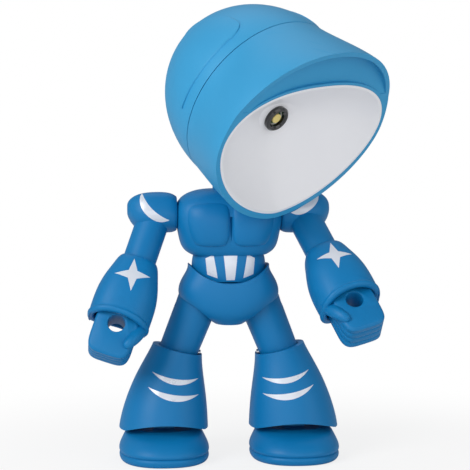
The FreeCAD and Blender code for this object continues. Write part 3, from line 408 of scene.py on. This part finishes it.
class Bench:
    """Modelling steps that several pieces share."""

    WELD_DISTANCE = 1e-6
    DRILL_CORNERS = 48
    BEVEL_STEPS = 3
    SMOOTH_ANGLE = 40.0

    @staticmethod
    def alone(piece: bpy.types.Object) -> None:
        """Makes one object the only one selected.

        Args:
            piece: The object.
        """
        bpy.ops.object.select_all(action="DESELECT")
        piece.select_set(True)
        bpy.context.view_layer.objects.active = piece

    @staticmethod
    def seal() -> None:
        """Welds the mesh being edited, turns its faces outward and ends the editing."""
        bpy.ops.mesh.select_all(action="SELECT")
        bpy.ops.mesh.remove_doubles(threshold=Bench.WELD_DISTANCE)
        bpy.ops.mesh.normals_make_consistent(inside=False)
        bpy.ops.object.mode_set(mode="OBJECT")

    @staticmethod
    def grow(name: str, rings: list[Ring], count: int, closed: bool = False) -> bpy.types.Object:
        """Grows a form from ring to ring by extrusion.

        Args:
            name: The piece's name.
            rings: The cross-sections, in order.
            count: Corners in each ring.
            closed: Whether the last ring meets the first, as in a band.

        Returns:
            The finished closed mesh.
        """
        bpy.ops.object.select_all(action="DESELECT")
        ends = "NOTHING" if closed else "NGON"
        bpy.ops.mesh.primitive_circle_add(vertices=count, radius=1.0, fill_type=ends)
        piece = bpy.context.active_object
        piece.name = name
        bpy.ops.object.mode_set(mode="EDIT")
        bpy.ops.mesh.select_mode(type="VERT")
        mesh = bmesh.from_edit_mesh(piece.data)
        places = [rings[0].point(number, count) for number in range(count)]
        for vertex, place in zip(mesh.verts, places):
            vertex.co = place
        for ring in rings[1:] + ([rings[0]] if closed else []):
            bpy.ops.mesh.extrude_region_move()
            mesh = bmesh.from_edit_mesh(piece.data)
            moved = [ring.point(number, count) for number in range(count)]
            for vertex in mesh.verts:
                if vertex.select:
                    gaps = [(place - vertex.co).length_squared for place in places]
                    vertex.co = moved[gaps.index(min(gaps))]
            places = moved
            bmesh.update_edit_mesh(piece.data)
        Bench.seal()
        return piece

    @staticmethod
    def bore(piece: bpy.types.Object, radius: float, place: Vector, length: float) -> None:
        """Cuts a round hole along Y.

        Args:
            piece: The piece that gets the hole.
            radius: Radius of the hole.
            place: Middle of the hole.
            length: Length of the drill.
        """
        bpy.ops.object.select_all(action="DESELECT")
        bpy.ops.mesh.primitive_cylinder_add(
            vertices=Bench.DRILL_CORNERS, radius=radius, depth=length, location=place,
            rotation=(math.pi / 2, 0.0, 0.0),
        )
        drill = bpy.context.active_object
        Bench.alone(piece)
        cut = piece.modifiers.new("bore", "BOOLEAN")
        cut.operation = "DIFFERENCE"
        cut.solver = "EXACT"
        cut.object = drill
        bpy.ops.object.modifier_apply(modifier=cut.name)
        bpy.data.objects.remove(drill, do_unlink=True)

    @staticmethod
    def soften(piece: bpy.types.Object, width: float, angle: float) -> None:
        """Rounds the sharp edges of a piece.

        Args:
            piece: The piece.
            width: Width of the rounding.
            angle: Edges sharper than this many degrees are rounded.
        """
        Bench.alone(piece)
        edge = piece.modifiers.new("soft_edge", "BEVEL")
        edge.width = width
        edge.segments = Bench.BEVEL_STEPS
        edge.limit_method = "ANGLE"
        edge.angle_limit = math.radians(angle)
        edge.use_clamp_overlap = True
        bpy.ops.object.modifier_apply(modifier=edge.name)

    @staticmethod
    def round_off(piece: bpy.types.Object, levels: int) -> None:
        """Rounds a whole piece by subdividing it.

        Args:
            piece: The piece.
            levels: How many times it is subdivided.
        """
        Bench.alone(piece)
        form = piece.modifiers.new("round_form", "SUBSURF")
        form.levels = levels
        form.render_levels = levels
        bpy.ops.object.modifier_apply(modifier=form.name)

    @staticmethod
    def join(pieces: list[bpy.types.Object]) -> bpy.types.Object:
        """Joins pieces into the first of them.

        Args:
            pieces: The pieces.

        Returns:
            The first piece, which now holds them all.
        """
        bpy.ops.object.select_all(action="DESELECT")
        for piece in pieces:
            piece.select_set(True)
        bpy.context.view_layer.objects.active = pieces[0]
        bpy.ops.object.join()
        return pieces[0]

    @staticmethod
    def settle(piece: bpy.types.Object, place: Matrix) -> None:
        """Moves a piece's mesh to its place and leaves its object at the origin.

        Args:
            piece: The piece, drawn in a frame of its own.
            place: Where that frame stands in the part's frame.
        """
        Bench.alone(piece)
        piece.matrix_world = place
        bpy.ops.object.transform_apply(location=True, rotation=True, scale=True)
        bpy.ops.object.shade_smooth_by_angle(angle=math.radians(Bench.SMOOTH_ANGLE))

    @staticmethod
    def deliver(piece: bpy.types.Object, body: str, slot: str, *replaced: str) -> None:
        """Gives a piece its finish, its body and the nodes it stands for.

        Args:
            piece: The finished piece.
            body: The body that it rides on.
            slot: The record's material slot.
            replaced: CAD nodes that it stands for.
        """
        piece.data.materials.clear()
        piece.data.materials.append(SLOT_FINISHES[slot].material())
        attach(piece, body)
        if replaced:
            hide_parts(*replaced)
        log.info("piece %s on %s, %d faces", piece.name, body, len(piece.data.polygons))


@dataclass
class Plate:
    """A thin raised field that hugs a CAD node, with its measures in metres."""

    name: str
    node: str
    columns: int
    rows: int
    rise: float
    sink: float
    thickness: float
    smooth_angle: float = 50.0

    @staticmethod
    def key(place: Vector) -> tuple[int, int, int]:
        """Names a place so that the same place is found again.

        Args:
            place: The place.

        Returns:
            Its three values in whole tenths of a micrometre.
        """
        return tuple(round(value * 1e7) for value in place)

    def build(
        self,
        start: Callable[[float, float], Vector],
        swell: Callable[[float, float], float],
    ) -> bpy.types.Object:
        """Lays a grid over the node, raises its middle and gives it a back.

        Args:
            start: Gives a place just outside the node for each grid place from -1 to 1.
            swell: Gives how far each grid place is raised, from 0 to 1.

        Returns:
            The finished closed plate.
        """
        bpy.ops.object.select_all(action="DESELECT")
        bpy.ops.mesh.primitive_grid_add(
            x_subdivisions=self.columns, y_subdivisions=self.rows, size=2.0
        )
        piece = bpy.context.active_object
        piece.name = self.name
        spots = [(vertex.co.x, vertex.co.y) for vertex in piece.data.vertices]
        starts = [start(across, along) for across, along in spots]
        for vertex, place in zip(piece.data.vertices, starts):
            vertex.co = place
        wrap = piece.modifiers.new("hug", "SHRINKWRAP")
        wrap.target = frame["nodes"][self.node]
        wrap.wrap_method = "NEAREST_SURFACEPOINT"
        bpy.ops.object.modifier_apply(modifier=wrap.name)
        backs = {}
        for vertex, place, (across, along) in zip(piece.data.vertices, starts, spots):
            way = (place - vertex.co).normalized()
            back = vertex.co - way * self.thickness
            vertex.co += way * (self.sink + (self.rise - self.sink) * swell(across, along))
            backs[self.key(vertex.co)] = back
        bpy.ops.object.mode_set(mode="EDIT")
        bpy.ops.mesh.select_all(action="SELECT")
        bpy.ops.mesh.extrude_region_move()
        mesh = bmesh.from_edit_mesh(piece.data)
        for vertex in mesh.verts:
            if vertex.select:
                vertex.co = backs[self.key(vertex.co)]
        bmesh.update_edit_mesh(piece.data)
        Bench.seal()
        bpy.ops.object.shade_smooth_by_angle(angle=math.radians(self.smooth_angle))
        return piece


def between(points: Curve, place: float) -> float:
    """Reads a smooth value between given points.

    Args:
        points: Pairs of place and value, in order.
        place: Where the value is wanted.

    Returns:
        The value there.
    """
    last = len(points) - 1
    slopes = []
    for number in range(last + 1):
        before, after = points[max(number - 1, 0)], points[min(number + 1, last)]
        slopes.append((after[1] - before[1]) / (after[0] - before[0]))
    for number in range(last):
        (low, first), (high, second) = points[number], points[number + 1]
        if place <= high:
            span = high - low
            share = max(0.0, (place - low) / span)
            square, cube = share ** 2, share ** 3
            leaving = slopes[number] * (cube - 2 * square + share)
            arriving = slopes[number + 1] * (cube - square)
            return (
                first * (2 * cube - 3 * square + 1)
                + second * (3 * square - 2 * cube)
                + span * (leaving + arriving)
            )
    return points[-1][1]


@dataclass
class Arm:
    """The new hand and cuff of one arm, drawn along the arm and then placed.

    The drawing is in millimetres, with the shoulder's middle at the origin, the arm along -Z
    and the robot's front along -Y. A profile pairs a level or a step with a radius, a share
    or a step outward.
    """

    side: Side
    swing: float
    spread: float = 19.2
    pivot_across: float = 39.5
    pivot_height: float = 136.0

    grip_reach: float = 69.9
    grip_radius: float = 4.7
    drill_length: float = 60.0
    knuckle_rounding: float = 0.5
    knuckle_angle: float = 50.0

    palm_centre: float = -74.2
    palm_half_width: float = 11.7
    palm_half_height: float = 13.6
    palm_half_depth: float = 9.2
    palm_fullness: float = 4.4
    palm_corners: int = 64
    palm_edge: Curve = ((0.0, 0.88), (0.5, 0.95), (1.3, 1.0))
    finger_groove: Curve = ((-0.9, 1.0), (-0.3, 0.985), (0.0, 0.958), (0.3, 0.985), (0.9, 1.0))

    thumb_path: tuple[tuple[float, float, float, float, float], ...] = (
        (8.0, 3.0, -61.0, 3.0, 3.6),
        (10.8, 0.5, -63.5, 3.7, 4.4),
        (12.2, -3.6, -67.5, 3.6, 4.6),
        (11.9, -7.0, -72.5, 3.5, 4.2),
        (10.4, -8.8, -77.0, 3.3, 3.6),
        (9.0, -9.3, -80.0, 2.6, 2.7),
        (8.3, -9.3, -81.6, 1.3, 1.3),
    )
    thumb_fullness: float = 2.3
    thumb_corners: int = 24
    thumb_levels: int = 2

    wrist_profile: Curve = ((-63.0, 7.4), (-60.5, 7.0), (-58.5, 6.0), (-50.0, 5.9), (-49.4, 5.4))
    wrist_corners: int = 40

    cuff_half_width: float = 16.8
    cuff_half_depth: float = 15.6
    cuff_fullness: float = 2.5
    cuff_high: float = 54.5
    cuff_low: float = 69.3
    cuff_arch: float = 3.4
    cuff_corners: int = 72
    cuff_levels: int = 1
    cuff_taper: Curve = (
        (54.5, 0.985), (58.0, 0.998), (60.6, 1.0), (63.0, 0.994), (66.0, 0.972), (69.3, 0.925),
    )
    cuff_outside: Curve = ((0.0, -0.9), (0.05, -0.3), (0.6, 0.1), (3.0, 0.15))
    cuff_roll: Curve = (
        (4.4, 0.15), (3.8, 0.3), (3.3, 0.95), (2.4, 1.1), (1.2, 1.05), (0.4, 0.6), (0.0, -0.3),
        (0.1, -1.4), (0.8, -2.3), (4.0, -2.6),
    )
    cuff_inside: Curve = ((1.0, -2.3), (0.3, -1.8))

    def place(self) -> Matrix:
        """Works out where the arm is at rest.

        Returns:
            The way from the drawing to the part's frame, in metres.
        """
        sign = self.side.value
        pivot = Vector((sign * self.pivot_across, 0.0, self.pivot_height)) * MILLIMETRE
        turn = Matrix.Rotation(math.radians(-self.swing), 4, "X")
        lean = Matrix.Rotation(math.radians(-sign * self.spread), 4, "Y")
        shrink = Matrix.Scale(MILLIMETRE, 4)
        return Matrix.Translation(body_middle() + pivot) @ turn @ lean @ shrink

    def build(self) -> None:
        """Builds the hand and the cuff of the glove."""
        self.hand()
        self.cuff()

    def palm(self) -> bpy.types.Object:
        """Grows the closed fingers from front to back, with a groove between fingers.

        Returns:
            The fist's block of fingers, without its hole.
        """
        depth = self.palm_half_depth
        pitch = depth / 2
        levels = [(-depth + step, share) for step, share in self.palm_edge]
        for groove in (-pitch, 0.0, pitch):
            levels += [(groove + step, share) for step, share in self.finger_groove]
        levels += [(depth - step, share) for step, share in reversed(self.palm_edge)]
        rings = [
            Ring(
                Vector((0.0, level, self.palm_centre)),
                Vector((self.palm_half_width * share, 0.0, 0.0)),
                Vector((0.0, 0.0, self.palm_half_height * share)),
                self.palm_fullness,
            )
            for level, share in levels
        ]
        return Bench.grow(self.side.word + "_hand", rings, self.palm_corners)

    def thumb(self) -> bpy.types.Object:
        """Grows the thumb that lies over the inner front edge of the fist.

        Returns:
            The thumb.
        """
        inward = -self.side.value
        centres = [
            Vector((inward * reach, back, level)) for reach, back, level, *_ in self.thumb_path
        ]
        rings = []
        for number, (*_, wide, deep) in enumerate(self.thumb_path):
            before = centres[max(number - 1, 0)]
            after = centres[min(number + 1, len(centres) - 1)]
            way = (after - before).normalized()
            across = way.cross(Vector((0.0, 0.0, 1.0))).normalized()
            over = way.cross(across)
            rings.append(Ring(centres[number], across * deep, over * wide, self.thumb_fullness))
        thumb = Bench.grow(self.side.word + "_thumb", rings, self.thumb_corners)
        Bench.round_off(thumb, self.thumb_levels)
        return thumb

    def wrist(self) -> bpy.types.Object:
        """Grows the wrist between the fist and the glove.

        Returns:
            The wrist.
        """
        rings = [
            Ring(
                Vector((0.0, 0.0, level)),
                Vector((radius, 0.0, 0.0)),
                Vector((0.0, radius, 0.0)),
            )
            for level, radius in self.wrist_profile
        ]
        return Bench.grow(self.side.word + "_wrist", rings, self.wrist_corners)

    def hand(self) -> None:
        """Builds the fist with its fingers, thumb and grip hole."""
        palm = self.palm()
        grip = Vector((0.0, 0.0, -self.grip_reach))
        Bench.bore(palm, self.grip_radius, grip, self.drill_length)
        Bench.soften(palm, self.knuckle_rounding, self.knuckle_angle)
        hand = Bench.join([palm, self.thumb(), self.wrist()])
        Bench.settle(hand, self.place())
        word = self.side.word
        Bench.deliver(hand, word + "_hand", "body_shell", word + "_fist")

    def cuff(self) -> None:
        """Builds the rolled cuff around the mouth of the glove."""
        profile = [(self.cuff_high + step, out) for step, out in self.cuff_outside]
        profile += [(self.cuff_low - step, out) for step, out in self.cuff_roll]
        profile += [(self.cuff_high + step, out) for step, out in self.cuff_inside]
        rings = []
        for level, out in profile:
            taper = between(self.cuff_taper, level)
            rings.append(Ring(
                Vector((0.0, 0.0, -level)),
                Vector((self.cuff_half_width * taper + out, 0.0, 0.0)),
                Vector((0.0, self.cuff_half_depth * taper + out, 0.0)),
                self.cuff_fullness,
            ))
        cuff = Bench.grow(self.side.word + "_cuff", rings, self.cuff_corners, closed=True)
        for vertex in cuff.data.vertices:
            share = min(1.0, abs(vertex.co.x) / self.cuff_half_width)
            drop = (-vertex.co.z - self.cuff_high) / (self.cuff_low - self.cuff_high)
            vertex.co.z += self.cuff_arch * drop * (1.0 - share ** 2)
        Bench.round_off(cuff, self.cuff_levels)
        Bench.settle(cuff, self.place())
        Bench.deliver(cuff, self.side.word + "_forearm", "body_shell")


@dataclass
class Chest:
    """The two breast plates on the front of the chest, in millimetres from the waist's foot."""

    inner_edge: float = 0.6
    outer_top: float = 28.0
    outer_low: float = 25.0
    top: float = 146.5
    low: float = 114.8
    front: float = -24.0
    sweep: float = 4.0
    side_rounding: float = 0.16
    end_rounding: float = 0.12
    inner_power: float = 5.0
    foot_power: float = 4.0
    outer_fade: float = 0.8
    crown_fade: float = 0.9
    steps: int = 40
    rise: float = 2.1
    sink: float = -0.4
    thickness: float = 1.6

    def build(self) -> None:
        """Builds the plate of each side."""
        for side in Side:
            self.plate(side)

    def start(self, side: Side, across: float, along: float) -> Vector:
        """Gives a place before the chest for a place on the plate's grid.

        Args:
            side: The robot's side.
            across: From -1 at the inner edge to 1 at the outer one.
            along: From -1 at the foot to 1 at the crown.

        Returns:
            The place, in the part's frame.
        """
        share = (across * (1 - self.side_rounding * along ** 4) + 1) / 2
        lift = (along * (1 - self.end_rounding * across ** 4) + 1) / 2
        height = self.low + (self.top - self.low) * lift
        outer = self.outer_low + (self.outer_top - self.outer_low) * lift
        reach = self.inner_edge + (outer - self.inner_edge) * share
        place = Vector((side.value * reach, self.front + self.sweep * share ** 3, height))
        return body_middle() + place * MILLIMETRE

    def swell(self, across: float, along: float) -> float:
        """Gives the breast's height: firm at its foot and inner edge, fading outward and up.

        Args:
            across: From -1 at the inner edge to 1 at the outer one.
            along: From -1 at the foot to 1 at the crown.

        Returns:
            The share of the plate's full rise.
        """
        inner = math.sqrt(1 - max(0.0, -across) ** self.inner_power)
        outer = math.cos(max(0.0, across) * math.pi / 2) ** self.outer_fade
        foot = math.sqrt(1 - max(0.0, -along) ** self.foot_power)
        crown = math.cos(max(0.0, along) * math.pi / 2) ** self.crown_fade
        return inner * outer * foot * crown

    def plate(self, side: Side) -> None:
        """Builds one breast plate.

        Args:
            side: The robot's side.
        """
        plate = Plate(
            side.word + "_breast", "chest_front", self.steps, self.steps,
            self.rise * MILLIMETRE, self.sink * MILLIMETRE, self.thickness * MILLIMETRE,
        )
        piece = plate.build(partial(self.start, side), self.swell)
        Bench.deliver(piece, "torso", "body_shell")


@dataclass
class Head:
    """The raised leaf fields on both sides of the head's back shell.

    Lengths are in millimetres, levels along the head's forward axis and angles in degrees
    from its upward axis.
    """

    centre: tuple[float, float, float] = (15.456, -32.145, 196.229)
    forward: tuple[float, float, float] = (0.53228, -0.65817, -0.53244)
    upward: tuple[float, float, float] = (0.24934, -0.47915, 0.84157)
    sideways: tuple[float, float, float] = (0.80902, 0.58071, 0.09094)
    radius: float = 53.0
    depth: float = 61.0
    tip_angle: float = 94.0
    end_angle: float = 27.0
    front_edge: Curve = (
        (0.0, -7.4), (0.4, -6.2), (0.8, -6.8), (0.9, -8.4), (0.97, -12.0), (1.0, -17.0),
    )
    rear_edge: Curve = (
        (0.0, -8.2), (0.1, -18.0), (0.25, -30.0), (0.45, -41.0), (0.65, -46.0), (0.85, -41.0),
        (0.95, -32.0), (1.0, -21.0),
    )
    edge_slope: float = 0.035
    columns: int = 140
    rows: int = 90
    rise: float = 0.75
    sink: float = -0.3
    thickness: float = 1.2

    def build(self) -> None:
        """Builds the field of each side."""
        for side in Side:
            self.leaf(side)

    def start(self, side: Side, across: float, along: float) -> Vector:
        """Gives a place over the shell for a place on the field's grid.

        Args:
            side: The robot's side.
            across: From -1 at the tip to 1 at the upper end.
            along: From -1 at the front edge to 1 at the rear one.

        Returns:
            The place, in the part's frame.
        """
        share = (across + 1) / 2
        angle = math.radians(self.tip_angle + (self.end_angle - self.tip_angle) * share)
        front = between(self.front_edge, share)
        rear = between(self.rear_edge, share)
        level = front + (rear - front) * (along + 1) / 2
        reach = self.radius * math.sqrt(max(0.0, 1 - (level / self.depth) ** 2))
        sideways = Vector(self.sideways) * side.value
        way = Vector(self.upward) * math.cos(angle) + sideways * math.sin(angle)
        middle = body_middle() + Vector(self.centre) * MILLIMETRE
        return middle + (Vector(self.forward) * level + way * reach) * MILLIMETRE

    def swell(self, across: float, along: float) -> float:
        """Gives the field's height: level, with a short slope at its edge.

        Args:
            across: From -1 at the tip to 1 at the upper end.
            along: From -1 at the front edge to 1 at the rear one.

        Returns:
            The share of the field's full rise.
        """
        edge = max(across ** 2, abs(along))
        return min(1.0, (1.0 - edge) / self.edge_slope)

    def leaf(self, side: Side) -> None:
        """Builds one leaf field.

        Args:
            side: The robot's side.
        """
        plate = Plate(
            side.word + "_leaf", "rear_shell", self.columns, self.rows,
            self.rise * MILLIMETRE, self.sink * MILLIMETRE, self.thickness * MILLIMETRE,
        )
        piece = plate.build(partial(self.start, side), self.swell)
        Bench.deliver(piece, "head", "head_shell")


@dataclass
class Studio:
    """Floor, lamps and camera of the picture, in metres, degrees and watts."""

    elevation: float = 5.0
    azimuth: float = -5.0
    distance: float = 1.0
    focal_pixels: float = 1818.0
    picture_pixels: float = 470.0
    sensor: float = 36.0
    clip_end: float = 30.0
    aim_across: float = 0.0036
    aim_height: float = 0.1225
    lamp_aim_height: float = 0.13
    lamps: tuple[tuple[str, tuple[float, float, float], float, float], ...] = (
        ("key_lamp", (-1.15, -0.95, 0.95), 0.9, 17.0),
        ("fill_lamp", (1.2, -1.1, 0.5), 1.2, 5.0),
        ("top_lamp", (0.0, 0.6, 1.5), 1.0, 3.5),
        ("low_lamp", (-0.1, -1.5, 0.2), 1.0, 5.0),
    )
    floor_half: float = 6.0
    floor_drop: float = 0.0002
    floor_tone: float = 0.86
    floor_roughness: float = 0.9
    floor_specular: float = 0.1
    shadow_near: float = 0.1
    shadow_far: float = 0.3
    shadow_share: float = 0.8
    room_tint: RGB = (0.95, 0.97, 1.0)
    room_strength: float = 0.34

    def build(self) -> None:
        """Sets up the camera, lamps, floor and world."""
        self.camera()
        for name, place, size, power in self.lamps:
            self.lamp(name, Vector(place), size, power)
        self.floor()
        self.world()
        bpy.context.scene.view_settings.view_transform = "Standard"

    def aim(self) -> tuple[Vector, Vector, Vector, Vector]:
        """Works out where the camera looks.

        Returns:
            The point looked at, the way back to the camera, and the picture's right and up.
        """
        rise = math.radians(self.elevation)
        turn = math.radians(self.azimuth)
        back = Vector((
            math.sin(turn) * math.cos(rise),
            -math.cos(turn) * math.cos(rise),
            math.sin(rise),
        ))
        right = Vector((math.cos(turn), math.sin(turn), 0.0))
        up = back.cross(right).normalized()
        target = body_middle() + right * self.aim_across + Vector((0.0, 0.0, self.aim_height))
        return target, back, right, up

    def camera(self) -> None:
        """Places the camera at the picture's viewing angle."""
        target, back, right, up = self.aim()
        data = bpy.data.cameras.new("photo_camera")
        data.sensor_width = self.sensor
        data.lens = self.focal_pixels / self.picture_pixels * self.sensor
        data.clip_end = self.clip_end
        camera = bpy.data.objects.new("photo_camera", data)
        bpy.context.scene.collection.objects.link(camera)
        turned = Matrix((right, up, back)).transposed().to_4x4()
        camera.matrix_world = Matrix.Translation(target + back * self.distance) @ turned
        bpy.context.scene.camera = camera

    def lamp(self, name: str, place: Vector, size: float, power: float) -> None:
        """Adds a soft lamp that points at the object.

        Args:
            name: The lamp's name.
            place: Where it stands, from the point under the waist.
            size: Side of its square face in metres.
            power: Its power in watts.
        """
        data = bpy.data.lights.new(name, "AREA")
        data.size = size
        data.energy = power
        lamp = bpy.data.objects.new(name, data)
        bpy.context.scene.collection.objects.link(lamp)
        lamp.location = body_middle() + place
        towards = body_middle() + Vector((0.0, 0.0, self.lamp_aim_height)) - lamp.location
        lamp.rotation_euler = towards.to_track_quat("-Z", "Y").to_euler()

    def floor(self) -> None:
        """Lays a pale floor that shows white far off and keeps the object's shadow near it."""
        bpy.ops.object.select_all(action="DESELECT")
        bpy.ops.mesh.primitive_plane_add(
            size=2 * self.floor_half, location=(0.0, 0.0, -self.floor_drop)
        )
        plane = bpy.context.active_object
        plane.name = "floor"
        material = bpy.data.materials.new("pale_floor")
        material.use_nodes = True
        nodes, links = material.node_tree.nodes, material.node_tree.links
        shader = nodes["Principled BSDF"]
        fill(shader, {
            "Base Color": (self.floor_tone, self.floor_tone, self.floor_tone, 1.0),
            "Roughness": self.floor_roughness,
            "Specular IOR Level": self.floor_specular,
        })
        glow = nodes.new("ShaderNodeEmission")
        path = nodes.new("ShaderNodeLightPath")
        place = nodes.new("ShaderNodeTexCoord")
        reach = nodes.new("ShaderNodeVectorMath")
        reach.operation = "LENGTH"
        links.new(place.outputs["Object"], reach.inputs[0])
        fade = nodes.new("ShaderNodeMapRange")
        fade.interpolation_type = "SMOOTHSTEP"
        fill(fade, {
            "From Min": self.shadow_near,
            "From Max": self.shadow_far,
            "To Min": self.shadow_share,
            "To Max": 1.0,
        })
        links.new(reach.outputs["Value"], fade.inputs["Value"])
        share = nodes.new("ShaderNodeMath")
        share.operation = "MULTIPLY"
        links.new(path.outputs["Is Camera Ray"], share.inputs[0])
        links.new(fade.outputs["Result"], share.inputs[1])
        mix = nodes.new("ShaderNodeMixShader")
        links.new(share.outputs[0], mix.inputs["Fac"])
        links.new(shader.outputs["BSDF"], mix.inputs[1])
        links.new(glow.outputs["Emission"], mix.inputs[2])
        links.new(mix.outputs["Shader"], nodes["Material Output"].inputs["Surface"])
        plane.data.materials.append(material)

    def world(self) -> None:
        """Fills the room with soft light and shows a white background."""
        world = bpy.data.worlds.new("white_room")
        bpy.context.scene.world = world
        world.use_nodes = True
        nodes, links = world.node_tree.nodes, world.node_tree.links
        soft = nodes["Background"]
        fill(soft, {"Color": (*self.room_tint, 1.0), "Strength": self.room_strength})
        white = nodes.new("ShaderNodeBackground")
        fill(white, {"Color": (1.0, 1.0, 1.0, 1.0), "Strength": 1.0})
        path = nodes.new("ShaderNodeLightPath")
        seen = nodes.new("ShaderNodeMath")
        seen.operation = "MAXIMUM"
        links.new(path.outputs["Is Camera Ray"], seen.inputs[0])
        links.new(path.outputs["Is Transmission Ray"], seen.inputs[1])
        mix = nodes.new("ShaderNodeMixShader")
        links.new(seen.outputs[0], mix.inputs["Fac"])
        links.new(soft.outputs["Background"], mix.inputs[1])
        links.new(white.outputs["Background"], mix.inputs[2])
        links.new(mix.outputs["Shader"], nodes["World Output"].inputs["Surface"])


def main() -> None:
    """Dresses the carried nodes, builds the new pieces and sets up the picture."""
    logging.basicConfig(level=logging.INFO, format="%(name)s %(message)s")
    CarriedNodes().dress()
    Arm(Side.LEFT, LEFT_SWING).build()
    Arm(Side.RIGHT, RIGHT_SWING).build()
    Chest().build()
    Head().build()
    Studio().build()


if __name__ == "__main__":
    main()
